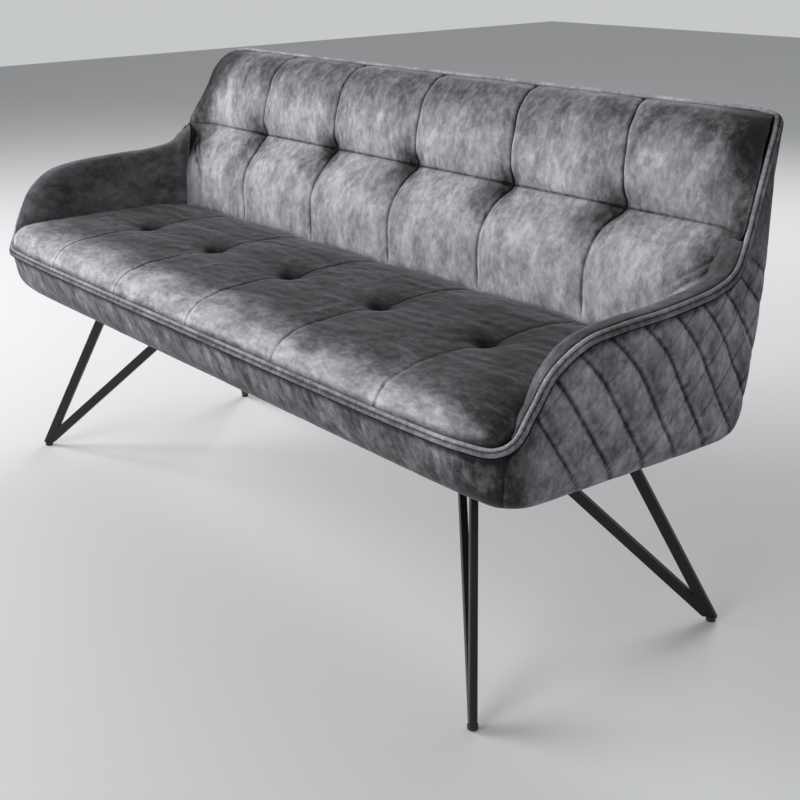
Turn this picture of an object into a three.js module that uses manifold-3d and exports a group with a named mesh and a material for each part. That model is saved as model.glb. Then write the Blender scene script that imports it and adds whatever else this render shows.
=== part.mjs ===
// Upholstered bench: tufted cushions in a quilted fabric shell, on four V-shaped steel legs.
// Millimetres, +X along the bench, -Y its front, +Z up, origin on the floor under its middle.
import * as THREE from 'three';
import { mergeVertices } from 'three/addons/utils/BufferGeometryUtils.js';
import Module from 'manifold-3d';

const wasm = await Module();
wasm.setup();

// Overall sizes of the shell, measured to the line on which the double welt runs
const armHalfSpan = 842;
const weltDepth = 600;
const frontWeltRise = 34.4;
const backRise = 370;
const footInset = 37;
const footSetBack = 32;
const footRearSetBack = 85;
const underside = 346;
const legAxisShift = 20.5;

// Fits shared by neighbouring pieces
const seatGap = 0.3;
const softGap = 0.5;
const padPlay = 2.6;
const overrun = 40;

// Fabric shell and double welt
const panelThickness = 12;
const edgeTuck = 28;
const rearTuck = 12;
const tuckHeight = 45;
const rearSwell = 6;
const cornerSwell = 9;
const weltCordRadius = 3.5;
const weltCordPitch = 6.4;
const weltClearance = 1.9;
const armWeltAngle = 35;
const topWeltAngle = 65;

// Arms
const boardThickness = 12;
const armThickness = 42;
const armBoardLap = 3.5;
const armBoardDrop = 15;
const padEdgeThickness = 11;
const padRollHeight = 22;
const backSideGap = 5;

// Timber base frame and seat board
const railHeight = 47.7;
const frontRailThickness = 40;
const frontRailSetBack = 46;
const frontRailChamfer = 24;
const endRailThickness = 45;
const endRailSetBack = 29;
const endRailChamfer = 16;
const endRailFrontReach = 34;
const rearRailThickness = 34;
const rearRailSetBack = 24;
const crossRailThickness = 45;
const seatBoardThickness = 12;
const seatBoardFrontInset = 36;
const seatBoardEndInset = 30;
const seatBoardCorner = 50;
const mountBoardThickness = 18;
const mountBoardMargin = 9;
const timberEdgeRadius = 2;
const dustCoverThickness = 0.7;
const dustCoverCorner = 60;

// Back frame
const postThickness = 20;
const postWidth = 30;
const endPostInset = 110;
const midPostShare = 0.342;
const topRailHeight = 26;
const topRailDrop = 42;
const topRailInset = 120;
const backBoardThickness = 5;

// Cushions
const columns = 6;
const columnInset = 38;
const seatCrown = 52;
const seatRoundOver = 104;
const seatPillow = 9;
const seatSeamDepth = 7;
const seatTuftDepth = 19;
const seatTuftReach = 46;
const seatTuftShare = 0.53;
const seatRim = 8;
const seatUndercut = 12;
const seatSideRim = 26;
const cushionRearGap = 5;
const backPillow = 15;
const backTuftDepth = 7;
const backTuftReach = 40;
const backButtonRise = 214;
const backSeatRise = 36;

// Legs, glides, plates and bolts
const steepTopInset = 137;
const steepBarSplay = 133;
const flatBarReach = 309;
const steepTopRearInset = 26;
const steepBarRake = 115;
const flatTopHalfDepth = 20.5;
const barWidth = 18;
const barThickness = 12;
const barEdgeRadius = 2;
const glideRadius = 8;
const glideHeight = 8;
const glideEdge = 1.5;
const plateThickness = 5;
const plateWidth = 66;
const plateCorner = 8;
const centrePlateLength = 136;
const boltSpread = 22;
const centreBoltSpread = 54;
const boltRadius = 3;
const boltHeadRadius = 6;
const boltHeadHeight = 3.3;
const boltHeadRound = 1.9;
const boltHoleClearance = 0.35;
const boltLength = 24;

// Levels and lines that follow from the sizes above
const frontLine = -(weltDepth / 2);
const topLine = weltDepth / 2;
const footHalfWidth = armHalfSpan - footInset;
const footFrontLine = frontLine + footSetBack;
const footRearLine = topLine - footRearSetBack;
const footDepth = footRearLine - footFrontLine;
const legAxis = (footFrontLine + footRearLine) / 2 + legAxisShift;
const railBottom = underside + seatGap + dustCoverThickness + seatGap;
const railTop = railBottom + railHeight;
const seatBoardTop = railTop + seatGap + seatBoardThickness;
const cushionFloor = seatBoardTop + seatGap;
const frontWeltHeight = cushionFloor + frontWeltRise;
const armBoardFoot = railTop - armBoardLap;
const topRailLevel = frontWeltHeight + backRise - topRailDrop;
const backButtonLevel = frontWeltHeight + backButtonRise;
const backSeatLevel = frontWeltHeight + backSeatRise;
const plateTop = underside;
const plateBottom = plateTop - plateThickness;
const weltReach = weltCordPitch / 2 + weltCordRadius + weltClearance;
const endRailHalfSpan = footHalfWidth - endRailSetBack;
const endRailInner = endRailHalfSpan - endRailThickness;
const seatBoardHalfSpan = footHalfWidth - seatBoardEndInset;
const endPostHalfSpan = armHalfSpan - endPostInset;
const midPostHalfSpan = endPostHalfSpan * midPostShare;
const topRailHalfSpan = armHalfSpan - topRailInset;
const backBoardHalfSpan = endPostHalfSpan;
const seamPitch = (2 * (armHalfSpan - columnInset)) / columns;
const steepTopHalfSpan = endRailInner - steepTopInset;
const footHalfSpan = steepTopHalfSpan + steepBarSplay;
const flatTopHalfSpan = footHalfSpan - flatBarReach;
const rearRailFace = footRearLine - rearRailSetBack;
const rearRailFront = rearRailFace - rearRailThickness;
const steepTopHalfDepth = rearRailFront - steepTopRearInset - legAxis;
const footHalfDepth = steepTopHalfDepth + steepBarRake;

// Outline of the shell from the middle of the front round the right side to the middle of the
// rear: the line of the welt (across, back, up) and the foot of the wall below it (across, back)
const weltShares = [
  [0, 0, 0],
  [0.416, 0, 0],
  [0.76, 0.005, 0],
  [0.873, 0.02, -0.003],
  [0.932, 0.052, -0.005],
  [0.957, 0.078, 0.035],
  [0.968, 0.112, 0.138],
  [0.976, 0.163, 0.27],
  [0.986, 0.242, 0.359],
  [0.995, 0.333, 0.389],
  [1, 0.452, 0.403],
  [0.993, 0.558, 0.411],
  [0.981, 0.663, 0.422],
  [0.968, 0.747, 0.457],
  [0.954, 0.803, 0.549],
  [0.939, 0.858, 0.689],
  [0.923, 0.922, 0.865],
  [0.912, 0.957, 0.935],
  [0.893, 0.993, 0.984],
  [0.857, 1, 1],
  [0.76, 1, 1],
  [0, 1, 1],
];
const footShares = [
  [0, 0],
  [0.435, 0],
  [0.783, 0],
  [0.884, 0.004],
  [0.951, 0.017],
  [0.979, 0.054],
  [0.996, 0.104],
  [1, 0.161],
  [1, 0.244],
  [1, 0.348],
  [1, 0.482],
  [1, 0.596],
  [1, 0.7],
  [0.999, 0.778],
  [0.997, 0.843],
  [0.993, 0.9],
  [0.983, 0.955],
  [0.97, 0.983],
  [0.945, 0.998],
  [0.913, 1],
  [0.795, 1],
  [0, 1],
];
const lastStation = weltShares.length - 1;
const cornerSeamShare = 0.2167;
const cornerBlendShare = 0.024;
const armBoardStartShare = 0.286;
const fullPadShare = 0.381;
const armBoardEndShare = 0.643;
const padEndShare = 0.6667;
const rearSeamShare = 0.8381;
const topWeltStartShare = 0.881;
const seamPlayShare = 0.003;
const cornerSwellShare = 0.85;
const topWeltShare = 0.9;
const cornerSeam = cornerSeamShare * lastStation;
const cornerBlend = cornerBlendShare * lastStation;
const armBoardStart = armBoardStartShare * lastStation;
const armBoardEnd = armBoardEndShare * lastStation;
const fullPad = fullPadShare * lastStation;
const padEnd = padEndShare * lastStation;
const rearSeam = rearSeamShare * lastStation;
const topWeltStart = topWeltStartShare * lastStation;
const seamPlay = seamPlayShare * lastStation;

// Sewn line of the back cushion's face, from its foot to the top welt (back, height share)
const faceShares = [
  [0.745, 0],
  [0.745, 0.15],
  [0.748, 0.24],
  [0.758, 0.38],
  [0.782, 0.47],
  [0.83, 0.57],
  [0.847, 0.615],
  [0.858, 0.7],
  [0.868, 0.77],
  [0.884, 0.84],
  [0.912, 0.915],
  [0.945, 0.965],
  [0.98, 0.998],
];

const cushionReach = faceShares[0][0] * weltDepth - cushionRearGap;
const seatTuftLine = seatTuftShare * cushionReach;

// Roll of the arm pad over its board, up from the welt and in from the wall
const padRollShares = [
  [-0.3, 0.92],
  [0.2, 0.72],
  [0.4, 0.42],
];

// Stretch of the back's height over which its cushion widens from the arms to the welt
const backWidenShares = [0.5, 0.85];

const velvetGrey = { color: 0x55565a, roughness: 0.85, metalness: 0 };
const weltGrey = { color: 0x4a4b4f, roughness: 0.8, metalness: 0 };
const blackSteel = { color: 0x141415, roughness: 0.5, metalness: 0.6 };
const blackPlastic = { color: 0x1b1b1c, roughness: 0.6, metalness: 0 };
const zincSteel = { color: 0x8f9296, roughness: 0.35, metalness: 0.9 };
const pine = { color: 0xc9a777, roughness: 0.75, metalness: 0 };
const plywood = { color: 0xd2b48a, roughness: 0.7, metalness: 0 };
const dustCloth = { color: 0x202021, roughness: 0.95, metalness: 0 };

const up = new THREE.Vector3(0, 0, 1);
const bench = new THREE.Group();
bench.name = 'upholstered_bench';

function addPiece(name, geometry, finish) {
  const mesh = new THREE.Mesh(geometry, new THREE.MeshStandardMaterial(finish));
  mesh.name = name;
  bench.add(mesh);
}

// A geometry as shared points and triangles alone, without triangles that closed up
function bare(geometry) {
  const stripped = geometry.clone();
  stripped.deleteAttribute('normal');
  stripped.deleteAttribute('uv');
  const merged = mergeVertices(stripped);
  const corners = merged.index.array;
  const index = [];
  for (let i = 0; i < corners.length; i += 3) {
    const [a, b, c] = corners.slice(i, i + 3);
    if (a !== b && b !== c && c !== a) {
      index.push(a, b, c);
    }
  }
  merged.setIndex(index);
  return merged;
}

// Signed volume of a closed geometry, used to face it outward
function volumeOf(geometry) {
  const spots = geometry.attributes.position;
  const [a, b, c] = [new THREE.Vector3(), new THREE.Vector3(), new THREE.Vector3()];
  let sum = 0;
  for (let i = 0; i < geometry.index.count; i += 3) {
    a.fromBufferAttribute(spots, geometry.index.getX(i));
    b.fromBufferAttribute(spots, geometry.index.getX(i + 1));
    c.fromBufferAttribute(spots, geometry.index.getX(i + 2));
    sum += a.dot(b.cross(c)) / 6;
  }
  return sum;
}

function facingOut(geometry) {
  if (volumeOf(geometry) >= 0) {
    return geometry;
  }
  const index = Array.from(geometry.index.array);
  for (let i = 0; i < index.length; i += 3) {
    [index[i], index[i + 1]] = [index[i + 1], index[i]];
  }
  geometry.setIndex(index);
  return geometry;
}

function mirrored(geometry) {
  const twin = geometry.clone();
  twin.scale(-1, 1, 1);
  return facingOut(twin);
}

function toSolid(geometry) {
  const vertProperties = new Float32Array(geometry.attributes.position.array);
  const triVerts = new Uint32Array(geometry.index.array);
  return new wasm.Manifold(new wasm.Mesh({ numProp: 3, vertProperties, triVerts }));
}

// The geometry of a solid's largest body, which drops slivers that a cut leaves
function toGeometry(solid) {
  const bodies = solid.decompose().sort((a, b) => b.volume() - a.volume());
  const { vertProperties, triVerts } = bodies[0].getMesh();
  const geometry = new THREE.BufferGeometry();
  geometry.setAttribute('position', new THREE.BufferAttribute(new Float32Array(vertProperties), 3));
  geometry.setIndex(Array.from(triVerts));
  return geometry;
}

function cut(geometry, ...tools) {
  let solid = toSolid(geometry);
  for (const tool of tools) {
    solid = solid.subtract(toSolid(tool));
  }
  return toGeometry(solid);
}

// A closed body through rings of points, each ring closed and all of one length
function loft(rings) {
  const count = rings[0].length;
  const points = rings.flat();
  const index = [];
  for (let ring = 0; ring < rings.length - 1; ring += 1) {
    for (let i = 0; i < count; i += 1) {
      const next = (i + 1) % count;
      const [a, b] = [ring * count + i, ring * count + next];
      index.push(a, b, b + count, a, b + count, a + count);
    }
  }
  const lastRing = (rings.length - 1) * count;
  for (const [a, b, c] of capOf(rings[0])) {
    index.push(a, c, b);
  }
  for (const [a, b, c] of capOf(rings[rings.length - 1])) {
    index.push(lastRing + a, lastRing + b, lastRing + c);
  }
  const geometry = new THREE.BufferGeometry().setFromPoints(points);
  geometry.setIndex(index);
  return facingOut(geometry);
}

// Triangles that fill a ring, found in the ring's own plane
function capOf(ring) {
  const normal = new THREE.Vector3();
  ring.forEach((point, i) => {
    const next = ring[(i + 1) % ring.length];
    normal.add(new THREE.Vector3().crossVectors(point, next));
  });
  normal.normalize();
  const across = Math.abs(normal.z) > Math.SQRT1_2 ? new THREE.Vector3(1, 0, 0) : up.clone();
  across.addScaledVector(normal, -across.dot(normal)).normalize();
  const along = new THREE.Vector3().crossVectors(normal, across);
  const flat = ring.map((point) => new THREE.Vector2(point.dot(across), point.dot(along)));
  return THREE.ShapeUtils.triangulateShape(flat, []);
}

// A unit block whose points are placed one by one, for cushions
function mould(acrossSteps, alongSteps, place) {
  const geometry = bare(new THREE.BoxGeometry(1, 1, 1, acrossSteps, alongSteps, 1));
  const spots = geometry.attributes.position;
  for (let i = 0; i < spots.count; i += 1) {
    const point = place(spots.getX(i) * 2, spots.getY(i) + 1 / 2, spots.getZ(i) + 1 / 2);
    spots.setXYZ(i, point.x, point.y, point.z);
  }
  return facingOut(geometry);
}

// Shell line: welt and foot of the wall, with the directions that go with them
const weltLine = new THREE.CatmullRomCurve3(
  weltShares.map(([across, back, rise]) => new THREE.Vector3(
    across * armHalfSpan,
    frontLine + back * weltDepth,
    frontWeltHeight + rise * backRise,
  )),
  false,
  'centripetal',
);
const footLine = new THREE.CatmullRomCurve3(
  footShares.map(([across, back]) => new THREE.Vector3(
    across * footHalfWidth,
    footFrontLine + back * footDepth,
    underside,
  )),
  false,
  'centripetal',
);

// Outward normal, in plan, of a line that runs counter-clockwise round the bench
function planNormal(tangent) {
  return new THREE.Vector3(tangent.y, -tangent.x, 0).normalize();
}

// Everything known at one station: stations run on past the rear middle and are negative at left
function stationAt(place) {
  const wrapped = place > lastStation ? place - 2 * lastStation : place;
  const share = Math.min(Math.abs(wrapped) / lastStation, 1);
  const top = weltLine.getPoint(share);
  const foot = footLine.getPoint(share);
  const tangent = weltLine.getTangent(share);
  const footTangent = footLine.getTangent(share);
  if (wrapped < 0) {
    top.x *= -1;
    foot.x *= -1;
    tangent.set(tangent.x, -tangent.y, -tangent.z);
    footTangent.set(footTangent.x, -footTangent.y, 0);
  }
  const topNormal = planNormal(tangent);
  const footNormal = planNormal(footTangent);
  const side = topNormal.clone().addScaledVector(tangent, -topNormal.dot(tangent)).normalize();
  const face = up.clone().addScaledVector(tangent, -up.dot(tangent)).normalize();
  const topReached = THREE.MathUtils.clamp((top.z - frontWeltHeight) / backRise, 0, 1);
  const nearTop = THREE.MathUtils.smoothstep(topReached, topWeltShare, 1);
  const tilt = THREE.MathUtils.degToRad(THREE.MathUtils.lerp(armWeltAngle, topWeltAngle, nearTop));
  side.multiplyScalar(Math.cos(tilt));
  const outward = side.addScaledVector(face, Math.sin(tilt)).normalize();
  const inward = new THREE.Vector3().crossVectors(outward, tangent).normalize();
  return { top, foot, topNormal, footNormal, outward, inward };
}

// A point of the wall at a height, some depth in from its face
function wallPoint(station, height, depth) {
  const { top, foot, topNormal, footNormal } = station;
  const rise = (height - underside) / (top.z - underside);
  const normal = footNormal.clone().lerp(topNormal, rise).normalize();
  const rearShare = Math.max(0, footNormal.y);
  const tuck = THREE.MathUtils.lerp(edgeTuck, rearTuck, rearShare);
  const unrolled = Math.max(0, 1 - (height - underside) / tuckHeight);
  const roundIn = tuck * (1 - Math.sqrt(1 - Math.min(unrolled, 1) ** 2));
  const cornerShare = 2 * Math.abs(footNormal.x) * rearShare;
  const onWall = THREE.MathUtils.clamp(rise, 0, 1);
  const onCorner = THREE.MathUtils.clamp(rise / cornerSwellShare, 0, 1);
  const rearBulge = rearSwell * rearShare * Math.sin(Math.PI * onWall ** 3);
  const cornerBulge = cornerSwell * cornerShare * Math.sin(Math.PI * onCorner);
  const point = foot.clone().lerp(top, rise);
  return point.addScaledVector(normal, rearBulge + cornerBulge - roundIn - depth);
}

// A point beside the welt line: along the face toward the inside, and in under the welt
function besideWelt(station, along, depth) {
  const point = station.top.clone().addScaledVector(station.inward, along);
  return point.addScaledVector(station.outward, -depth);
}

function places(from, to, steps) {
  return Array.from({ length: steps + 1 }, (_, i) => from + (to - from) * (i / steps));
}

// Fabric shell: apron, side panels and rear panel
const panelRiseShares = [0.02, 0.14, 0.42, 1];
const foldHeights = panelRiseShares.map((share) => underside + share * tuckHeight);

function panelRing(station) {
  const { top } = station;
  const weltEdge = besideWelt(station, -weltReach, 0);
  const bodyTop = weltEdge.z;
  const bodyFoot = underside + tuckHeight;
  const outer = [
    wallPoint(station, underside, 0),
    ...foldHeights.map((height) => wallPoint(station, height, 0)),
    wallPoint(station, THREE.MathUtils.lerp(bodyFoot, bodyTop, 1 / 3), 0),
    wallPoint(station, THREE.MathUtils.lerp(bodyFoot, bodyTop, 2 / 3), 0),
    weltEdge,
  ];
  const lip = weltReach / 2;
  const innerTop = top.z - armBoardDrop - softGap;
  const inner = [
    besideWelt(station, -lip, lip + weltClearance),
    wallPoint(station, innerTop, panelThickness),
    wallPoint(station, THREE.MathUtils.lerp(bodyFoot, innerTop, 1 / 2), panelThickness),
    ...foldHeights.toReversed().map((height) => wallPoint(station, height, panelThickness)),
    wallPoint(station, underside, panelThickness),
  ];
  return [...outer, ...inner];
}

function panel(from, to, steps) {
  return loft(places(from, to, steps).map((place) => panelRing(stationAt(place))));
}

addPiece('front_apron', panel(-cornerSeam + seamPlay, cornerSeam - seamPlay, 36), velvetGrey);
const rightSidePanel = panel(cornerSeam + seamPlay, rearSeam - seamPlay, 32);
addPiece('right_side_panel', rightSidePanel, velvetGrey);
addPiece('left_side_panel', mirrored(rightSidePanel), velvetGrey);
const rearPanel = panel(rearSeam + seamPlay, 2 * lastStation - rearSeam - seamPlay, 28);
addPiece('rear_panel', rearPanel, velvetGrey);

// Double welt: two cords sewn side by side, in four runs
const weltSides = 12;

function weltRing(station) {
  const ring = [];
  for (let i = 0; i < weltSides; i += 1) {
    const turn = ((i + 1 / 2) / weltSides) * 2 * Math.PI;
    const lobe = Math.sign(Math.cos(turn)) * (weltCordPitch / 2);
    const local = Math.abs(Math.cos(turn)) * weltCordRadius;
    const along = lobe + Math.sign(Math.cos(turn)) * (2 * local - weltCordRadius);
    const lift = Math.sqrt(Math.max(0, weltCordRadius ** 2 - (along - lobe) ** 2));
    ring.push(besideWelt(station, along, -lift * Math.sign(Math.sin(turn))));
  }
  return ring;
}

function welt(from, to, steps) {
  return loft(places(from, to, steps).map((place) => weltRing(stationAt(place))));
}

addPiece('front_welt', welt(-cornerSeam + seamPlay, cornerSeam - seamPlay, 30), weltGrey);
const rightWelt = welt(cornerSeam + seamPlay, topWeltStart - seamPlay, 44);
addPiece('right_arm_welt', rightWelt, weltGrey);
addPiece('left_arm_welt', mirrored(rightWelt), weltGrey);
const topWelt = welt(topWeltStart + seamPlay, 2 * lastStation - topWeltStart - seamPlay, 16);
addPiece('top_welt', topWelt, weltGrey);

// Seat cushion: crowned, with a seam and a tuft at each column line
const columnEase = 0.7;

// Steps gather at the seams, so that a valley stays narrow
function gather(share) {
  return share - (columnEase * Math.sin(2 * Math.PI * share)) / (2 * Math.PI);
}

function gatherInColumns(across, count) {
  const spot = ((across + 1) / 2) * count;
  const column = Math.min(Math.floor(spot), count - 1);
  return ((column + gather(spot - column)) / count) * 2 - 1;
}

// How far from the nearest seam, 0 on it and 1 in the middle of a column
function pillowAcross(across) {
  const spot = ((across + 1) / 2) * columns;
  return Math.sin(Math.PI * spot) ** 2;
}

// Depth of the pad's inner face, which thins out toward the front corner
function padDepth(place) {
  const thin = panelThickness + padEdgeThickness;
  return THREE.MathUtils.lerp(thin, armThickness, THREE.MathUtils.smoothstep(place, cornerSeam, fullPad));
}

// Plan of the seat: along the front welt, then along the inner face of the arm pad
function seatEdge(place, grow, under = false) {
  const station = stationAt(place);
  const atWelt = under
    ? besideWelt(station, weltReach / 2, weltReach / 2 + weltClearance - grow)
    : besideWelt(station, weltReach, -grow);
  const atPad = wallPoint(station, frontWeltHeight + weltReach, padDepth(place) + softGap - grow);
  const blend = THREE.MathUtils.smoothstep(place, cornerSeam - cornerBlend, cornerSeam + cornerBlend);
  return atWelt.lerp(atPad, blend);
}

const edgeSteps = 60;

// A value read between samples, given as rising keys with their values
function readBetween(samples, key) {
  const found = samples.findIndex(([sample]) => sample >= key);
  const next = found < 0 ? samples.length - 1 : Math.max(1, found);
  const [[fromKey, from], [toKey, to]] = [samples[next - 1], samples[next]];
  return THREE.MathUtils.lerp(from, to, THREE.MathUtils.clamp((key - fromKey) / (toKey - fromKey), 0, 1));
}

// The seat's edge as tables: line across the seat to half width, half width to place in front
function seatOutline(grow, under) {
  const side = places(cornerSeam, padEnd, edgeSteps).map((place) => seatEdge(place, grow, under));
  const front = places(0, cornerSeam, edgeSteps).map((place) => [seatEdge(place, grow, under).x, place]);
  return { grow, under, corner: side[0], widths: side.map(({ x, y }) => [y, x]), front };
}

function seatSpot(outline, across, back) {
  const { grow, under, corner } = outline;
  const reach = Math.abs(gatherInColumns(across, columns));
  const backShare = gather(back);
  const front = seatEdge(readBetween(outline.front, reach * corner.x), grow, under);
  const rearLine = frontLine + cushionReach - softGap + grow;
  const y = THREE.MathUtils.lerp(front.y, rearLine, backShare);
  const sideX = readBetween(outline.widths, THREE.MathUtils.lerp(corner.y, rearLine, backShare));
  return { x: Math.sign(across) * reach * sideX, y, sideX, fromFront: y - front.y };
}

// Rise of a rounded edge: 0 at the edge and 1 from the round's reach inward
function roundOver(distance) {
  const share = THREE.MathUtils.clamp(distance / seatRoundOver, 0, 1);
  return Math.sqrt(1 - (1 - share) ** 2);
}

function seatTop({ x, y, sideX }) {
  const rise = roundOver(y - frontLine);
  const sideDrop = (seatCrown - seatSideRim) * (1 - roundOver(sideX - Math.abs(x)));
  const rearDrop = seatSideRim * (1 - roundOver(frontLine + cushionReach - y));
  const column = Math.round(x / seamPitch);
  const onSeam = Math.abs(column) < columns / 2;
  const fromSeam = Math.min(1, Math.abs(x / seamPitch - column) * 2);
  const pillow = onSeam ? Math.sin(fromSeam * (Math.PI / 2)) : 1;
  const fromTuftLine = y - frontLine - seatTuftLine;
  const away = Math.hypot(x - column * seamPitch, fromTuftLine) / seatTuftReach;
  const tuft = onSeam ? seatTuftDepth * Math.exp(-(away ** 2)) : 0;
  const row = (seatPillow / 2) * Math.exp(-((fromTuftLine / seatTuftReach) ** 2));
  const relief = seatPillow * pillow - seatSeamDepth * (1 - pillow) - row - tuft;
  return frontWeltHeight + seatRim * (1 - rise) + (seatCrown - sideDrop + relief) * rise - rearDrop;
}

function seatCushion(grow) {
  const [above, below] = [seatOutline(grow, false), seatOutline(grow, true)];
  return mould(columns * 6, 14, (across, back, level) => {
    if (level > 1 / 2) {
      const spot = seatSpot(above, across, back);
      return new THREE.Vector3(spot.x, spot.y, seatTop(spot) + grow);
    }
    const spot = seatSpot(below, across, back);
    const ramp = THREE.MathUtils.clamp((spot.fromFront - seatUndercut) / seatCrown, 0, 1);
    const floor = THREE.MathUtils.lerp(frontWeltHeight - softGap, cushionFloor, ramp) - grow;
    return new THREE.Vector3(spot.x, spot.y, floor);
  });
}

addPiece('seat_cushion', seatCushion(0), velvetGrey);

// Back cushion: six columns by two rows, rolled over the top rail
const faceLine = new THREE.CatmullRomCurve3(
  faceShares.map(([back, rise]) => new THREE.Vector3(
    0,
    frontLine + back * weltDepth,
    cushionFloor + rise * (frontWeltHeight + backRise - cushionFloor),
  )),
  false,
  'centripetal',
);

// Rear wall, in profile, at a height and a depth in from its face
function rearLineAt(height, depth) {
  const rise = (height - underside) / (frontWeltHeight + backRise - underside);
  return THREE.MathUtils.lerp(footRearLine, topLine, rise) - depth;
}

const backSteps = 14;
const backClimbShare = (backSteps - 2) / backSteps;
const boardFrontDepth = panelThickness + softGap + postThickness + seatGap + backBoardThickness + seatGap;

// Half width of the back cushion at a height: inside the arm boards, then inside the welt
const backEdgeSteps = 30;
const backWidths = places(padEnd, topWeltStart, backEdgeSteps)
  .map((place) => stationAt(place).top)
  .map(({ x, z }) => [z, x - weltReach]);

function backHalfWidth(height) {
  const armEdge = armHalfSpan - armThickness - panelThickness - boardThickness - backSideGap;
  const climbed = (height - frontWeltHeight) / backRise;
  const [from, to] = backWidenShares;
  const blend = THREE.MathUtils.smoothstep(climbed, from, to);
  return THREE.MathUtils.lerp(armEdge, readBetween(backWidths, height), blend);
}

function backFace(across, riseShare, grow) {
  const point = faceLine.getPoint(riseShare);
  const slope = faceLine.getTangent(riseShare);
  const normal = new THREE.Vector3(0, -slope.z, slope.y);
  const above = (point.z - backButtonLevel) / (frontWeltHeight + backRise - backButtonLevel);
  const below = (backButtonLevel - point.z) / (backButtonLevel - backSeatLevel);
  const row = Math.sin(Math.PI * Math.min(1, above > 0 ? above : below));
  const x = across * backHalfWidth(point.z);
  const column = Math.round(x / seamPitch);
  const away = Math.hypot(x - column * seamPitch, point.z - backButtonLevel) / backTuftReach;
  const tuft = Math.abs(column) < columns / 2 ? Math.exp(-away * away) : 0;
  const edge = 1 - Math.abs(across) ** 8;
  const pillow = backPillow * Math.sqrt(row) * pillowAcross(across) ** (1 / 2) * edge;
  point.addScaledVector(normal, pillow - backTuftDepth * tuft + grow);
  point.x = x + Math.sign(x) * grow;
  return point;
}

// The cushion's hidden side: up the front of the back board, then back over the top rail
function backRear(across, riseShare, grow) {
  const railTopLevel = topRailLevel + topRailHeight + softGap;
  const climb = Math.min(1, riseShare / backClimbShare);
  const over = Math.max(0, (riseShare - backClimbShare) / (1 - backClimbShare));
  const height = THREE.MathUtils.lerp(cushionFloor - grow, railTopLevel, climb);
  const atBoard = rearLineAt(height, boardFrontDepth + softGap - grow);
  const y = THREE.MathUtils.lerp(atBoard, topLine - panelThickness - weltReach / 2, over);
  return new THREE.Vector3(across * (backBoardHalfSpan + grow), y, height);
}

function backCushion(grow) {
  return mould(columns * 6, backSteps, (across, rise, level) => {
    const spread = gatherInColumns(across, columns);
    return level > 1 / 2 ? backFace(spread, rise, grow) : backRear(spread, rise, grow);
  });
}

addPiece('back_cushion', backCushion(0), velvetGrey);

// Arm pads: the inner face of each arm, rolled over the top of its board up to the welt
function padRing(place) {
  const station = stationAt(place);
  const depth = padDepth(place);
  const { top } = station;
  const boardShare = THREE.MathUtils.smoothstep(place, cornerSeam, armBoardStart);
  const boardFace = panelThickness + padPlay + boardThickness * boardShare;
  const boardTop = top.z - armBoardDrop + padPlay;
  const roll = Math.min(padRollHeight, (top.z - cushionFloor) / 2);
  return [
    besideWelt(station, weltReach, 0),
    besideWelt(station, weltReach / 2, weltReach / 2 + weltClearance),
    wallPoint(station, boardTop, panelThickness + softGap),
    wallPoint(station, boardTop, boardFace),
    wallPoint(station, cushionFloor, boardFace),
    wallPoint(station, cushionFloor, depth),
    wallPoint(station, THREE.MathUtils.lerp(cushionFloor, top.z - roll, 1 / 2), depth),
    wallPoint(station, top.z - roll, depth),
    ...padRollShares.map(([lift, inset]) => wallPoint(station, top.z + roll * lift, depth * inset)),
  ];
}

const padBlock = loft(places(cornerSeam + cornerBlend, padEnd, 26).map(padRing));
const rightPad = cut(padBlock, seatCushion(2 * softGap), backCushion(2 * softGap));
addPiece('right_arm_pad', rightPad, velvetGrey);
addPiece('left_arm_pad', mirrored(rightPad), velvetGrey);

// Arm boards: bent plywood between pad and side panel
function armBoardRing(place) {
  const station = stationAt(place);
  const outer = panelThickness + 2 * softGap;
  const inner = outer + boardThickness;
  const boardTop = station.top.z - armBoardDrop;
  return [
    wallPoint(station, armBoardFoot, outer),
    wallPoint(station, boardTop, outer),
    wallPoint(station, boardTop, inner),
    wallPoint(station, armBoardFoot, inner),
  ];
}

const rightArmBoard = loft(places(armBoardStart, armBoardEnd, 24).map(armBoardRing));
addPiece('right_arm_board', rightArmBoard, plywood);
addPiece('left_arm_board', mirrored(rightArmBoard), plywood);

// A timber of one section, given as (y, z) points, along X
function timber(profile, fromX, toX) {
  const outline = new THREE.Shape(profile.map(([y, z]) => new THREE.Vector2(y, z)));
  const geometry = new THREE.ExtrudeGeometry(outline, { depth: toX - fromX, bevelEnabled: false });
  const turn = new THREE.Matrix4().makeBasis(
    new THREE.Vector3(0, 1, 0),
    new THREE.Vector3(0, 0, 1),
    new THREE.Vector3(1, 0, 0),
  );
  geometry.applyMatrix4(turn);
  geometry.translate(fromX, 0, 0);
  return facingOut(bare(geometry));
}

// A flat piece cut to an outline in plan, with round holes, standing at a level
const arcSteps = 4;

function sheet(outline, holes, level, thickness) {
  for (const [x, y] of holes) {
    const hole = new THREE.Path();
    hole.absarc(x, y, boltRadius + boltHoleClearance, 0, 2 * Math.PI, true);
    outline.holes.push(hole);
  }
  const options = { depth: thickness, bevelEnabled: false, curveSegments: arcSteps };
  const geometry = new THREE.ExtrudeGeometry(outline, options);
  geometry.translate(0, 0, level);
  return facingOut(bare(geometry));
}

function rectangle(fromX, fromY, toX, toY, radius) {
  const shape = new THREE.Shape();
  shape.moveTo(fromX + radius, fromY);
  shape.lineTo(toX - radius, fromY);
  shape.absarc(toX - radius, fromY + radius, radius, -Math.PI / 2, 0, false);
  shape.absarc(toX - radius, toY - radius, radius, 0, Math.PI / 2, false);
  shape.absarc(fromX + radius, toY - radius, radius, Math.PI / 2, Math.PI, false);
  shape.absarc(fromX + radius, fromY + radius, radius, Math.PI, 1.5 * Math.PI, false);
  return shape;
}

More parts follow.
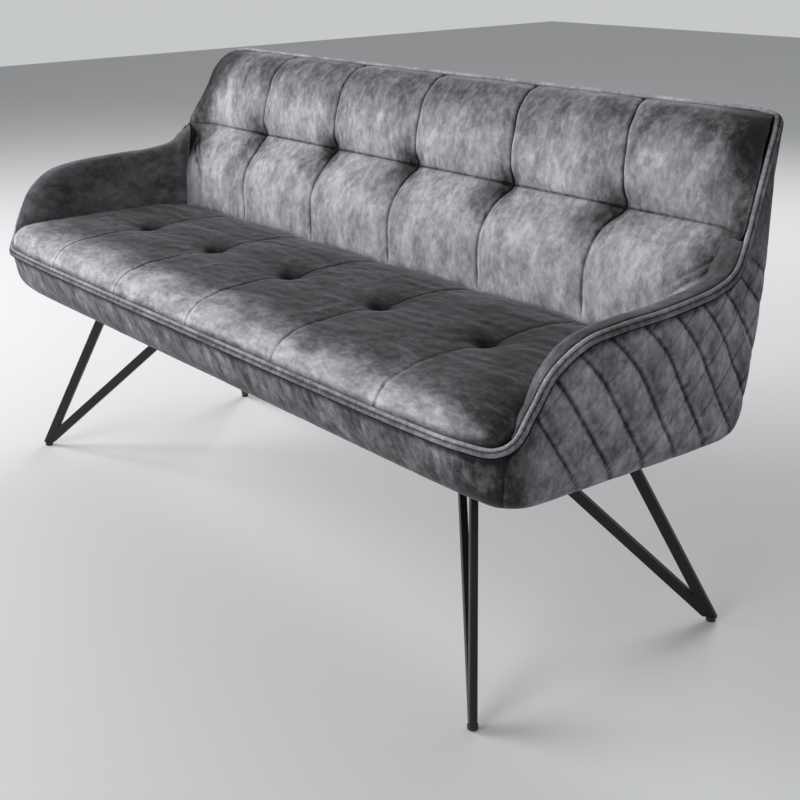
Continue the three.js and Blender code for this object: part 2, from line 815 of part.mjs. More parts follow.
// Base frame
const frontRailFace = frontLine + frontRailSetBack;
const frontRailBack = frontRailFace + frontRailThickness;
const longRailHalfSpan = endRailInner - seatGap;

const frontRailProfile = [
  [frontRailFace + frontRailChamfer, railBottom],
  [frontRailBack, railBottom],
  [frontRailBack, railTop],
  [frontRailFace, railTop],
  [frontRailFace, railBottom + frontRailChamfer],
];
addPiece('front_rail', timber(frontRailProfile, -longRailHalfSpan, longRailHalfSpan), pine);
const rearRailProfile = [
  [rearRailFront, railBottom],
  [rearRailFace, railBottom],
  [rearRailFace, railTop],
  [rearRailFront, railTop],
];
addPiece('rear_rail', timber(rearRailProfile, -longRailHalfSpan, longRailHalfSpan), pine);

function endRail() {
  const outline = new THREE.Shape([
    new THREE.Vector2(endRailInner, railBottom),
    new THREE.Vector2(endRailHalfSpan - endRailChamfer, railBottom),
    new THREE.Vector2(endRailHalfSpan, railBottom + endRailChamfer),
    new THREE.Vector2(endRailHalfSpan, railTop),
    new THREE.Vector2(endRailInner, railTop),
  ]);
  const from = frontRailFace + endRailFrontReach;
  const to = rearRailFace - endRailFrontReach;
  const geometry = new THREE.ExtrudeGeometry(outline, { depth: to - from, bevelEnabled: false });
  geometry.rotateX(Math.PI / 2);
  geometry.translate(0, to, 0);
  return facingOut(bare(geometry));
}

addPiece('right_end_rail', endRail(), pine);
addPiece('left_end_rail', mirrored(endRail()), pine);

const crossRailOutline = rectangle(
  -crossRailThickness / 2,
  frontRailBack + seatGap,
  crossRailThickness / 2,
  rearRailFront - seatGap,
  timberEdgeRadius,
);
addPiece('middle_cross_rail', sheet(crossRailOutline, [], railBottom, railHeight), pine);

// Bolt places at the right end: two at each steep bar, two on the plate shared by the flat bars
const rightBolts = [
  [steepTopHalfSpan - boltSpread, legAxis - steepTopHalfDepth + boltSpread],
  [steepTopHalfSpan + boltSpread, legAxis - steepTopHalfDepth - boltSpread],
  [flatTopHalfSpan, legAxis - centreBoltSpread],
  [flatTopHalfSpan, legAxis + centreBoltSpread],
  [steepTopHalfSpan + boltSpread, legAxis + steepTopHalfDepth + boltSpread],
  [steepTopHalfSpan - boltSpread, legAxis + steepTopHalfDepth - boltSpread],
];
const leftBolts = rightBolts.map(([x, y]) => [-x, y]);

const mountBoardReach = plateWidth / 2 + mountBoardMargin;
const mountOutline = rectangle(
  flatTopHalfSpan - mountBoardReach,
  frontRailBack + seatGap,
  steepTopHalfSpan + mountBoardReach,
  rearRailFront - seatGap,
  timberEdgeRadius,
);
const rightMountBoard = sheet(mountOutline, rightBolts, railBottom, mountBoardThickness);
addPiece('right_mounting_board', rightMountBoard, plywood);
addPiece('left_mounting_board', mirrored(rightMountBoard), plywood);

const seatBoardFront = frontLine + seatBoardFrontInset;
const seatBoardRear = rearLineAt(railTop, panelThickness + softGap);
const seatBoardOutline = new THREE.Shape([
  new THREE.Vector2(-seatBoardHalfSpan + seatBoardCorner, seatBoardFront),
  new THREE.Vector2(seatBoardHalfSpan - seatBoardCorner, seatBoardFront),
  new THREE.Vector2(seatBoardHalfSpan, seatBoardFront + seatBoardCorner),
  new THREE.Vector2(seatBoardHalfSpan, seatBoardRear - 2 * seatBoardCorner),
  new THREE.Vector2(seatBoardHalfSpan - seatBoardCorner, seatBoardRear),
  new THREE.Vector2(-seatBoardHalfSpan + seatBoardCorner, seatBoardRear),
  new THREE.Vector2(-seatBoardHalfSpan, seatBoardRear - 2 * seatBoardCorner),
  new THREE.Vector2(-seatBoardHalfSpan, seatBoardFront + seatBoardCorner),
]);
addPiece('seat_board', sheet(seatBoardOutline, [], railTop + seatGap, seatBoardThickness), plywood);

const coverInset = edgeTuck + panelThickness + 2 * softGap;
const dustOutline = rectangle(
  -footHalfWidth + coverInset,
  footFrontLine + coverInset,
  footHalfWidth - coverInset,
  footRearLine - rearTuck - panelThickness - softGap,
  dustCoverCorner,
);
const dustLevel = underside + seatGap;
const dustCover = sheet(dustOutline, [...rightBolts, ...leftBolts], dustLevel, dustCoverThickness);
addPiece('dust_cover', dustCover, dustCloth);

// Back frame: raked posts on the seat board, a top rail on the posts, a thin board in front
function rakedProfile(fromHeight, toHeight, rearDepth, thickness) {
  return [
    [rearLineAt(fromHeight, rearDepth + thickness), fromHeight],
    [rearLineAt(fromHeight, rearDepth), fromHeight],
    [rearLineAt(toHeight, rearDepth), toHeight],
    [rearLineAt(toHeight, rearDepth + thickness), toHeight],
  ];
}

const postDepth = panelThickness + softGap;
const postProfile = rakedProfile(cushionFloor, topRailLevel - seatGap, postDepth, postThickness);
const postPlaces = { right_end_post: endPostHalfSpan - postWidth, right_inner_post: midPostHalfSpan };
for (const [name, from] of Object.entries(postPlaces)) {
  const post = timber(postProfile, from, from + postWidth);
  addPiece(name, post, pine);
  addPiece(name.replace('right', 'left'), mirrored(post), pine);
}
const topRailProfile = rakedProfile(topRailLevel, topRailLevel + topRailHeight, postDepth, postThickness);
addPiece('back_top_rail', timber(topRailProfile, -topRailHalfSpan, topRailHalfSpan), pine);
const boardDepth = postDepth + postThickness + seatGap;
const backBoardProfile = rakedProfile(cushionFloor, topRailLevel - seatGap, boardDepth, backBoardThickness);
addPiece('back_board', timber(backBoardProfile, -backBoardHalfSpan, backBoardHalfSpan), plywood);

// Leg plates
function plateAt(x, y, length, bolts) {
  const outline = rectangle(
    x - plateWidth / 2,
    y - length / 2,
    x + plateWidth / 2,
    y + length / 2,
    plateCorner,
  );
  return sheet(outline, bolts, plateBottom, plateThickness);
}

const frontPlateLine = legAxis - steepTopHalfDepth;
const rearPlateLine = legAxis + steepTopHalfDepth;
const rightPlates = {
  right_front_leg_plate: plateAt(steepTopHalfSpan, frontPlateLine, plateWidth, rightBolts.slice(0, 2)),
  right_centre_leg_plate: plateAt(flatTopHalfSpan, legAxis, centrePlateLength, rightBolts.slice(2, 4)),
  right_rear_leg_plate: plateAt(steepTopHalfSpan, rearPlateLine, plateWidth, rightBolts.slice(4)),
};
for (const [name, plate] of Object.entries(rightPlates)) {
  addPiece(name, plate, blackSteel);
  addPiece(name.replace('right', 'left'), mirrored(plate), blackSteel);
}

// Legs: two bars of rectangular tube, mitred into a V over the glide
function barBlank(foot, top, planeNormal) {
  const axis = top.clone().sub(foot).normalize();
  const acrossPlane = planeNormal.clone().normalize();
  const inPlane = new THREE.Vector3().crossVectors(acrossPlane, axis).normalize();
  const [halfThick, halfWide] = [barThickness / 2, barWidth / 2];
  const section = rectangle(-halfThick, -halfWide, halfThick, halfWide, barEdgeRadius);
  const options = { depth: top.distanceTo(foot) + 2 * overrun, bevelEnabled: false, curveSegments: 2 };
  const geometry = new THREE.ExtrudeGeometry(section, options);
  geometry.translate(0, 0, -overrun);
  geometry.applyMatrix4(new THREE.Matrix4().makeBasis(acrossPlane, inPlane, axis));
  geometry.translate(foot.x, foot.y, foot.z);
  return facingOut(bare(geometry));
}

function slab(bottom, top) {
  const wide = 2 * footHalfSpan;
  const geometry = new THREE.BoxGeometry(wide, wide, top - bottom);
  geometry.translate(footHalfSpan, 0, (bottom + top) / 2);
  return bare(geometry);
}

// A block on one side of the mitre plane through the foot, kept clear of it by half a gap
function mitreBlock(foot, sideways, bisector) {
  const wide = 2 * footHalfDepth;
  const geometry = new THREE.BoxGeometry(wide, wide, 2 * wide);
  geometry.translate(wide / 2 - seatGap / 2, 0, 0);
  const third = new THREE.Vector3().crossVectors(bisector, sideways);
  geometry.applyMatrix4(new THREE.Matrix4().makeBasis(sideways, third, bisector));
  geometry.translate(foot.x, foot.y, foot.z);
  return bare(geometry);
}

function legBars(direction) {
  const footLineY = legAxis + direction * footHalfDepth;
  const steepLineY = legAxis + direction * steepTopHalfDepth;
  const flatLineY = legAxis + direction * flatTopHalfDepth;
  const foot = new THREE.Vector3(footHalfSpan, footLineY, glideHeight);
  const steepTop = new THREE.Vector3(steepTopHalfSpan, steepLineY, plateBottom);
  const flatTop = new THREE.Vector3(flatTopHalfSpan, flatLineY, plateBottom);
  const steep = steepTop.clone().sub(foot).normalize();
  const flat = flatTop.clone().sub(foot).normalize();
  const normal = new THREE.Vector3().crossVectors(steep, flat).normalize();
  const bisector = steep.clone().add(flat).normalize();
  const sideways = new THREE.Vector3().crossVectors(normal, bisector).normalize();
  const floorCut = slab(-overrun, glideHeight + seatGap);
  const roofCut = slab(plateBottom - seatGap, plateBottom + 2 * overrun);
  const flatSide = sideways.clone().multiplyScalar(Math.sign(sideways.dot(flat)));
  const towardFlat = mitreBlock(foot, flatSide, bisector);
  const towardSteep = mitreBlock(foot, flatSide.clone().negate(), bisector);
  return {
    steep: cut(barBlank(foot, steepTop, normal), floorCut, roofCut, towardFlat),
    flat: cut(barBlank(foot, flatTop, normal), floorCut, roofCut, towardSteep),
  };
}

const glideProfile = [
  new THREE.Vector2(0, 0),
  new THREE.Vector2(glideRadius - glideEdge, 0),
  new THREE.Vector2(glideRadius, glideEdge),
  new THREE.Vector2(glideRadius, glideHeight),
  new THREE.Vector2(0, glideHeight),
];

for (const [end, direction] of Object.entries({ front: -1, rear: 1 })) {
  const bars = legBars(direction);
  for (const [kind, bar] of Object.entries(bars)) {
    addPiece(`right_${end}_leg_${kind}_bar`, bar, blackSteel);
    addPiece(`left_${end}_leg_${kind}_bar`, mirrored(bar), blackSteel);
  }
  const glide = new THREE.LatheGeometry(glideProfile, 20);
  glide.rotateX(Math.PI / 2);
  glide.translate(footHalfSpan, legAxis + direction * footHalfDepth, 0);
  const seated = facingOut(bare(glide));
  addPiece(`right_${end}_glide`, seated, blackPlastic);
  addPiece(`left_${end}_glide`, mirrored(seated), blackPlastic);
}

// Bolts: button heads under the plates, shanks up into the mounting boards
const boltProfile = [
  new THREE.Vector2(0, -boltHeadHeight),
  new THREE.Vector2(boltHeadRadius - boltHeadRound, -boltHeadHeight),
  new THREE.Vector2(boltHeadRadius, boltHeadRound - boltHeadHeight),
  new THREE.Vector2(boltHeadRadius, 0),
  new THREE.Vector2(boltRadius, 0),
  new THREE.Vector2(boltRadius, boltLength),
  new THREE.Vector2(0, boltLength),
];
rightBolts.forEach(([x, y], i) => {
  const bolt = new THREE.LatheGeometry(boltProfile, 12);
  bolt.rotateX(Math.PI / 2);
  bolt.translate(x, y, plateBottom - seatGap);
  const seated = facingOut(bare(bolt));
  addPiece(`right_leg_bolt_${i + 1}`, seated, zincSteel);
  addPiece(`left_leg_bolt_${i + 1}`, mirrored(seated), zincSteel);
});

// Origin on the floor under the middle of the whole outline
const extent = new THREE.Box3().setFromObject(bench);
bench.position.y = -(extent.min.y + extent.max.y) / 2;

export default bench;
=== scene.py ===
import math

import bmesh
import bpy
import numpy as np
from mathutils import Matrix, Vector, noise


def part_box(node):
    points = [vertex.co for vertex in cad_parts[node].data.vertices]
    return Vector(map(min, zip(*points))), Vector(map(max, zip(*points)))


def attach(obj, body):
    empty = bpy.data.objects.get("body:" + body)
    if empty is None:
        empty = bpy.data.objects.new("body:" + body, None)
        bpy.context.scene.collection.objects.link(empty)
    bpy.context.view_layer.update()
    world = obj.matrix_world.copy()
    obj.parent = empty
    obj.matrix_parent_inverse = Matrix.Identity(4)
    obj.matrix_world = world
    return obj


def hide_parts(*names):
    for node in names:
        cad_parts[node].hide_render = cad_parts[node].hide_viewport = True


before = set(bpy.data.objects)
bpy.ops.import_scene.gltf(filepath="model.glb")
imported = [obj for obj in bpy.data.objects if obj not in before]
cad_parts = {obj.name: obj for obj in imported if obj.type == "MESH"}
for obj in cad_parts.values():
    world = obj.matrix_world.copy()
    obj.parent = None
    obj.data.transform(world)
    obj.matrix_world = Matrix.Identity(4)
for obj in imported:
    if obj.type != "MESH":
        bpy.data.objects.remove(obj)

scene = bpy.context.scene
scene.view_settings.view_transform = "Standard"
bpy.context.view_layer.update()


# Camera. A 62 mm lens, level with a person's chest, in front of the bench's right arm. Its place
# and tilt give the view of the product photograph.
yaw, pitch, roll = 0.92857, 0.337923, -0.021091
view_line = Vector((-math.sin(yaw) * math.cos(pitch), math.cos(yaw) * math.cos(pitch), -math.sin(pitch)))
level = Vector((math.cos(yaw), math.sin(yaw), 0))
upright = level.cross(view_line)
camera_x = math.cos(roll) * level + math.sin(roll) * upright
camera_y = math.cos(roll) * upright - math.sin(roll) * level
camera_place = Vector((2.026705, -1.348059, 1.091478))
camera_data = bpy.data.cameras.new("camera")
camera_data.lens = 62.16
camera_data.sensor_width = 36
camera = bpy.data.objects.new("camera", camera_data)
camera.matrix_world = Matrix((
    (camera_x.x, camera_y.x, -view_line.x, camera_place.x),
    (camera_x.y, camera_y.y, -view_line.y, camera_place.y),
    (camera_x.z, camera_y.z, -view_line.z, camera_place.z),
    (0, 0, 0, 1),
))
scene.collection.objects.link(camera)
scene.camera = camera


# Studio. A pale floor and an even white surround, with one large soft lamp in front and one to each
# side.
def linear(code):
    """An sRGB hex colour as linear red, green, blue and alpha."""
    parts = [int(code[i:i + 2], 16) / 255 for i in (1, 3, 5)]
    return [p / 12.92 if p <= 0.04045 else ((p + 0.055) / 1.055) ** 2.4 for p in parts] + [1.0]


def add_node(tree, kind, settings=None, links=None, **inputs):
    """Adds one node. settings are its properties, links go from its outputs to other sockets."""
    node = tree.nodes.new(kind)
    for name, value in (settings or {}).items():
        setattr(node, name, value)
    for name, value in inputs.items():
        socket = node.inputs[int(name[1:])] if name[0] == "i" and name[1:].isdigit() else node.inputs[name]
        if isinstance(value, bpy.types.NodeSocket):
            tree.links.new(value, socket)
        else:
            socket.default_value = value
    for output, target in (links or []):
        tree.links.new(node.outputs[output], target)
    return node


def new_material(name, **shader):
    """A material with its Principled shader's sockets set."""
    material = bpy.data.materials.new(name)
    material.use_nodes = True
    bsdf = material.node_tree.nodes["Principled BSDF"]
    for key, value in shader.items():
        bsdf.inputs[key.replace("_", " ")].default_value = value
    return material, material.node_tree, bsdf


def build(name, points, faces, material, smooth=True):
    """A mesh object from points in millimetres."""
    mesh = bpy.data.meshes.new(name)
    mesh.from_pydata((np.asarray(points) / 1000).tolist(), [], [list(f) for f in faces])
    bm = bmesh.new()
    bm.from_mesh(mesh)
    bmesh.ops.recalc_face_normals(bm, faces=bm.faces)
    bm.to_mesh(mesh)
    bm.free()
    mesh.polygons.foreach_set("use_smooth", [smooth] * len(mesh.polygons))
    mesh.materials.append(material)
    piece = bpy.data.objects.new(name, mesh)
    scene.collection.objects.link(piece)
    return piece


floor_material, tree, bsdf = new_material("painted_concrete", Base_Color=linear("#f2f3f4"), Roughness=0.6)
grain = add_node(tree, "ShaderNodeTexNoise", Scale=40.0, Detail=6.0)
add_node(tree, "ShaderNodeBump", Strength=0.05, Distance=0.0004, Height=grain.outputs["Fac"],
         links=[("Normal", bsdf.inputs["Normal"])])
floor = build("floor", [(-9000, -9000, 0), (9000, -9000, 0), (9000, 9000, 0), (-9000, 9000, 0)], [(0, 1, 2, 3)],
              floor_material, smooth=False)

world = bpy.data.worlds.new("white_surround")
scene.world = world
world.use_nodes = True
tree = world.node_tree
background = tree.nodes["Background"]
background.inputs["Color"].default_value = linear("#c6c8ca")
paths = add_node(tree, "ShaderNodeLightPath")
seen = add_node(tree, "ShaderNodeMath", {"operation": "MAXIMUM"},
                i0=paths.outputs["Is Camera Ray"], i1=paths.outputs["Is Glossy Ray"])
seen = add_node(tree, "ShaderNodeMath", {"operation": "MAXIMUM"},
                i0=seen.outputs[0], i1=paths.outputs["Is Transmission Ray"])
add_node(tree, "ShaderNodeMapRange", {}, Value=seen.outputs[0], i3=0.4, i4=1.0,
         links=[("Result", background.inputs["Strength"])])


def softbox(name, place, target, size, watts):
    lamp = bpy.data.lights.new(name, "AREA")
    lamp.shape = "RECTANGLE"
    lamp.size, lamp.size_y = size
    lamp.energy = watts
    box = bpy.data.objects.new(name, lamp)
    box.location = place
    box.rotation_mode = "QUATERNION"
    box.rotation_quaternion = (Vector(target) - Vector(place)).to_track_quat("-Z", "Y")
    scene.collection.objects.link(box)


softbox("left_softbox", (-3.4, -2.2, 2.2), (-0.2, 0.1, 0.5), (2.4, 1.8), 135)
softbox("front_softbox", (0.8, -3.6, 1.9), (0.2, 0, 0.5), (2.2, 1.4), 45)
softbox("rear_softbox", (-1.6, 3.2, 2.6), (0, 0, 0.4), (2.8, 1.2), 55)


# Steel legs. Each leg is two bars of 18 x 12 mm rectangular steel tube, welded at the foot into a V
# and to steel plates at the top. Black powder coat: an even satin film with a very fine orange
# peel.
powder_coat, tree, bsdf = new_material(
    "black_powder_coat", Base_Color=linear("#111213"), Metallic=0.0, Roughness=0.42, Specular_IOR_Level=0.35)
place = add_node(tree, "ShaderNodeTexCoord")
peel = add_node(tree, "ShaderNodeTexNoise", Vector=place.outputs["Object"], Scale=1 / 0.0012, Detail=3.0)
worn = add_node(tree, "ShaderNodeTexNoise", Vector=place.outputs["Object"], Scale=1 / 0.06, Detail=5.0)
add_node(tree, "ShaderNodeBump", Strength=0.25, Distance=0.0002, Height=peel.outputs["Fac"],
         links=[("Normal", bsdf.inputs["Normal"])])
add_node(tree, "ShaderNodeMapRange", {}, Value=worn.outputs["Fac"], i3=0.36, i4=0.5,
         links=[("Result", bsdf.inputs["Roughness"])])
add_node(tree, "ShaderNodeMix", {"data_type": "RGBA"}, Factor=worn.outputs["Fac"],
         i6=linear("#0d0e0f"), i7=linear("#18191a"), links=[(2, bsdf.inputs["Base Color"])])


def finish_nodes(material, *names):
    """Gives CAD nodes a material."""
    for name in names:
        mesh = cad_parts[name].data
        mesh.materials.clear()
        mesh.materials.append(material)


ends = [f"{side}_{end}" for side in ("right", "left") for end in ("front", "rear")]
finish_nodes(powder_coat, *[f"{end}_leg_{kind}_bar" for end in ends for kind in ("steep", "flat")])
finish_nodes(powder_coat, *[f"{side}_{end}_leg_plate" for side in ("right", "left")
                            for end in ("front", "centre", "rear")])


# Foot glides. A small black polyethylene cap, injection moulded, pressed under the point of each
# leg. Moulded polyethylene: dull, faintly waxy, with scuffs where it meets the floor.
glide_plastic, tree, bsdf = new_material("moulded_polyethylene", Base_Color=linear("#1e1e1f"), Roughness=0.6)
place = add_node(tree, "ShaderNodeTexCoord")
scuffs = add_node(tree, "ShaderNodeTexNoise", Vector=place.outputs["Object"], Scale=1 / 0.002, Detail=4.0)
add_node(tree, "ShaderNodeMapRange", {}, Value=scuffs.outputs["Fac"], i3=0.5, i4=0.7,
         links=[("Result", bsdf.inputs["Roughness"])])
add_node(tree, "ShaderNodeBump", Strength=0.2, Distance=0.0001, Height=scuffs.outputs["Fac"],
         links=[("Normal", bsdf.inputs["Normal"])])
finish_nodes(glide_plastic, *[f"{end}_glide" for end in ends])


# Leg bolts. Button-head bolts of zinc-plated steel hold each plate to the mounting board above it.
# Zinc plating: a cool metal with fine clouding in its gloss.
zinc_plate, tree, bsdf = new_material("zinc_plated_steel", Base_Color=linear("#b9bcc0"), Metallic=1.0, Roughness=0.35)
place = add_node(tree, "ShaderNodeTexCoord")
clouds = add_node(tree, "ShaderNodeTexNoise", Vector=place.outputs["Object"], Scale=1 / 0.004, Detail=4.0)
add_node(tree, "ShaderNodeMapRange", {}, Value=clouds.outputs["Fac"], i3=0.26, i4=0.46,
         links=[("Result", bsdf.inputs["Roughness"])])
finish_nodes(zinc_plate, *[f"{side}_leg_bolt_{i}" for side in ("right", "left") for i in range(1, 7)])


# Timber frame and boards. Planed pine rails and posts, and birch plywood boards, all hidden inside
# the upholstery. Raw wood: matt, with long grain along each piece and slightly darker late wood.
def raw_wood(name, light, dark, ring_size):
    material, tree, bsdf = new_material(name, Base_Color=linear(light), Roughness=0.72)
    place = add_node(tree, "ShaderNodeTexCoord")
    stretch = add_node(tree, "ShaderNodeMapping", Vector=place.outputs["Object"], Scale=(0.06, 1, 1))
    rings = add_node(tree, "ShaderNodeTexNoise", Vector=stretch.outputs["Vector"], Scale=1 / ring_size, Detail=5.0)
    add_node(tree, "ShaderNodeMix", {"data_type": "RGBA"}, Factor=rings.outputs["Fac"],
             i6=linear(light), i7=linear(dark), links=[(2, bsdf.inputs["Base Color"])])
    add_node(tree, "ShaderNodeBump", Strength=0.2, Distance=0.0003, Height=rings.outputs["Fac"],
             links=[("Normal", bsdf.inputs["Normal"])])
    return material


pine = raw_wood("planed_pine", "#d8b98a", "#a87c4a", 0.004)
plywood = raw_wood("birch_plywood", "#d9c09a", "#b8946a", 0.009)
finish_nodes(pine, "front_rail", "rear_rail", "right_end_rail", "left_end_rail", "middle_cross_rail", "back_top_rail",
             "right_end_post", "left_end_post", "right_inner_post", "left_inner_post")
finish_nodes(plywood, "right_mounting_board", "left_mounting_board", "seat_board", "back_board",
             "right_arm_board", "left_arm_board")


# Dust cover. Black spun-bonded cloth stapled under the frame. Its heat-bonded dots show as a fine
# dimpled net, drawn here at 3 mm so that it can be seen.
spun_cloth, tree, bsdf = new_material("spun_bonded_cloth", Base_Color=linear("#1b1b1c"), Roughness=0.95)
place = add_node(tree, "ShaderNodeTexCoord")
dots = add_node(tree, "ShaderNodeTexVoronoi", {"feature": "F1"}, Vector=place.outputs["Object"],
                Scale=1 / 0.003, Randomness=0.15)
fibres = add_node(tree, "ShaderNodeTexNoise", Vector=place.outputs["Object"], Scale=1 / 0.01, Detail=6.0)
add_node(tree, "ShaderNodeMix", {"data_type": "RGBA"}, Factor=fibres.outputs["Fac"],
         i6=linear("#131314"), i7=linear("#242425"), links=[(2, bsdf.inputs["Base Color"])])
add_node(tree, "ShaderNodeBump", Strength=0.5, Distance=0.0003, Height=dots.outputs["Distance"],
         links=[("Normal", bsdf.inputs["Normal"])])
finish_nodes(spun_cloth, "dust_cover")


# Outer shell. Crushed velvet over wadding: a plain front apron, quilted side panels and a quilted
# rear panel, sewn at the corners and pulled round under the frame. The pile reflects in soft cloudy
# streaks. All shapes are drawn round the shell's middle, behind the front of the seat board.
seat_board_reach = 264
mid_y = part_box("seat_board")[0].y * 1000 + seat_board_reach
arm_half_span, welt_depth, front_welt, back_rise = 842, 600, 442, 370
foot_half_width, foot_depth, foot_set_back, underside = 805, 483, 32, 346
front_line, top_line = -welt_depth / 2, welt_depth / 2
panel_thickness, edge_tuck, rear_tuck, tuck_height = 12, 28, 12, 45
rear_swell, corner_swell = 6, 9
cord_radius, cord_pitch, welt_clearance = 3.5, 6.4, 1.9
welt_reach = cord_pitch / 2 + cord_radius + welt_clearance
arm_board_drop = 15
soft_gap = 0.5
# Outline from the front middle round the right side to the rear middle, as shares of the sizes above
welt_shares = [
    (0, 0, 0), (0.416, 0, 0), (0.76, 0.005, 0), (0.873, 0.02, -0.003), (0.932, 0.052, -0.005), (0.957, 0.078, 0.035),
    (0.968, 0.112, 0.138), (0.976, 0.163, 0.27), (0.986, 0.242, 0.359), (0.995, 0.333, 0.389), (1, 0.452, 0.403),
    (0.993, 0.558, 0.411), (0.981, 0.663, 0.422), (0.968, 0.747, 0.457), (0.954, 0.803, 0.549), (0.939, 0.858, 0.689),
    (0.923, 0.922, 0.865), (0.912, 0.957, 0.935), (0.893, 0.993, 0.984), (0.857, 1, 1), (0.76, 1, 1), (0, 1, 1),
]
foot_shares = [
    (0, 0), (0.435, 0), (0.783, 0), (0.884, 0.004), (0.951, 0.017), (0.979, 0.054), (0.996, 0.104), (1, 0.161),
    (1, 0.244), (1, 0.348), (1, 0.482), (1, 0.596), (1, 0.7), (0.999, 0.778), (0.997, 0.843), (0.993, 0.9),
    (0.983, 0.955), (0.97, 0.983), (0.945, 0.998), (0.913, 1), (0.795, 1), (0, 1),
]
last_station = len(welt_shares) - 1
corner_seam, rear_seam, pad_end = 0.2167 * last_station, 0.8381 * last_station, 0.6667 * last_station


def smooth_line(points):
    """A centripetal curve through points, read at stations 0, 1, 2 and so on or between them."""
    points = np.asarray(points, float)
    first, last = 2 * points[0] - points[1], 2 * points[-1] - points[-2]
    padded = np.vstack([first, points, last])

    def at(station):
        station = np.clip(np.asarray(station, float), 0, len(points) - 1)
        i = np.minimum(station.astype(int), len(points) - 2)
        t = (station - i)[..., None]
        p0, p1, p2, p3 = (padded[i + k] for k in range(4))
        d0, d1, d2 = (np.maximum(np.linalg.norm(b - a, axis=-1), 1e-6)[..., None] ** 0.5
                      for a, b in ((p0, p1), (p1, p2), (p2, p3)))
        m1 = ((p1 - p0) / d0 - (p2 - p0) / (d0 + d1) + (p2 - p1) / d1) * d1
        m2 = ((p2 - p1) / d1 - (p3 - p1) / (d1 + d2) + (p3 - p2) / d2) * d1
        return p1 + m1 * t + (3 * (p2 - p1) - 2 * m1 - m2) * t ** 2 + (2 * (p1 - p2) + m1 + m2) * t ** 3

    return at


welt_line = smooth_line([(x * arm_half_span, front_line + y * welt_depth, front_welt + z * back_rise)
                         for x, y, z in welt_shares])
foot_line = smooth_line([(x * foot_half_width, front_line + foot_set_back + y * foot_depth, underside)
                         for x, y in foot_shares])


def unit(v):
    return v / np.maximum(np.linalg.norm(v, axis=-1, keepdims=True), 1e-9)


def smoothstep(x, low, high):
    t = np.clip((np.asarray(x, float) - low) / (high - low), 0, 1)
    return t * t * (3 - 2 * t)


def bell(distance, reach):
    """A smooth bump: 1 in its middle, 0.37 at its reach."""
    return np.exp(-(distance / reach) ** 2)


def stations(places):
    """Welt point, foot point and their directions at places; past the last one they wrap to the left."""
    places = np.asarray(places, float)
    wrapped = np.where(places > last_station, places - 2 * last_station, places)
    at = np.abs(wrapped)
    step = 0.002
    top, foot = welt_line(at), foot_line(at)
    tangent = unit(welt_line(at + step) - welt_line(at - step))
    foot_tangent = unit(foot_line(at + step) - foot_line(at - step))
    left = wrapped < 0
    top[left, 0] *= -1
    foot[left, 0] *= -1
    tangent[left, 1:] *= -1
    foot_tangent[left, 1:] *= -1
    up = np.array([0, 0, 1.0])
    top_normal = unit(np.stack([tangent[..., 1], -tangent[..., 0], 0 * tangent[..., 0]], -1))
    foot_normal = unit(np.stack([foot_tangent[..., 1], -foot_tangent[..., 0], 0 * foot_tangent[..., 0]], -1))
    side = unit(top_normal - tangent * (top_normal * tangent).sum(-1, keepdims=True))
    face = unit(up - tangent * tangent[..., 2:3])
    tilt = np.radians(35 + 30 * smoothstep((top[..., 2:3] - front_welt) / back_rise, 0.9, 1))
    outward = unit(side * np.cos(tilt) + face * np.sin(tilt))
    return {"top": top, "foot": foot, "top_normal": top_normal, "foot_normal": foot_normal,
            "outward": outward, "inward": unit(np.cross(outward, tangent))}


def wall_point(s, height, depth):
    """A point of the wall at a height and some depth in from its face."""
    height = np.broadcast_to(np.asarray(height, float), s["top"].shape[:-1])[..., None]
    depth = np.broadcast_to(np.asarray(depth, float), s["top"].shape[:-1])[..., None]
    rise = (height - underside) / (s["top"][..., 2:3] - underside)
    normal = unit(s["foot_normal"] + (s["top_normal"] - s["foot_normal"]) * rise)
    rear = np.maximum(0, s["foot_normal"][..., 1:2])
    tuck = edge_tuck + (rear_tuck - edge_tuck) * rear
    unrolled = np.clip(1 - (height - underside) / tuck_height, 0, 1)
    round_in = tuck * (1 - np.sqrt(1 - unrolled ** 2))
    corner = 2 * np.abs(s["foot_normal"][..., 0:1]) * rear
    bulge = rear_swell * rear * np.sin(np.pi * np.clip(rise, 0, 1) ** 3)
    bulge = bulge + corner_swell * corner * np.sin(np.pi * np.clip(rise / 0.85, 0, 1))
    return s["foot"] + (s["top"] - s["foot"]) * rise + normal * (bulge - round_in - depth)


def beside_welt(s, along, depth):
    """A point beside the welt line: along the face toward the inside, and in under the welt."""
    along = np.broadcast_to(np.asarray(along, float), s["top"].shape[:-1])[..., None]
    depth = np.broadcast_to(np.asarray(depth, float), s["top"].shape[:-1])[..., None]
    return s["top"] + s["inward"] * along - s["outward"] * depth


def lofted(name, rings, material):
    """A closed body through rings of points, with a fan on each end."""
    rings = np.asarray(rings) + np.array([0, mid_y, 0])
    rows, count = rings.shape[:2]
    index = np.arange(rows * count).reshape(rows, count)
    a, b = index[:-1], index[1:]
    faces = np.stack([a, np.roll(a, -1, 1), np.roll(b, -1, 1), b], -1).reshape(-1, 4).tolist()
    points = np.concatenate([rings.reshape(-1, 3), rings[0].mean(0)[None], rings[-1].mean(0)[None]])
    for row, centre in ((index[0], rows * count), (index[-1], rows * count + 1)):
        faces += [[int(row[i]), int(row[(i + 1) % count]), centre] for i in range(count)]
    return build(name, points, faces, material)


def folds(points, size, stretch=(1, 1, 1), seed=0.0, octaves=3):
    """Soft random relief, from -1 to 1, on patches of a size in millimetres."""
    scale = np.array(stretch, float) * size
    spots = np.asarray(points).reshape(-1, 3) / scale + seed
    values = [noise.fractal(Vector(p), 1.0, 2.0, octaves) for p in spots]
    return np.array(values).reshape(np.asarray(points).shape[:-1])


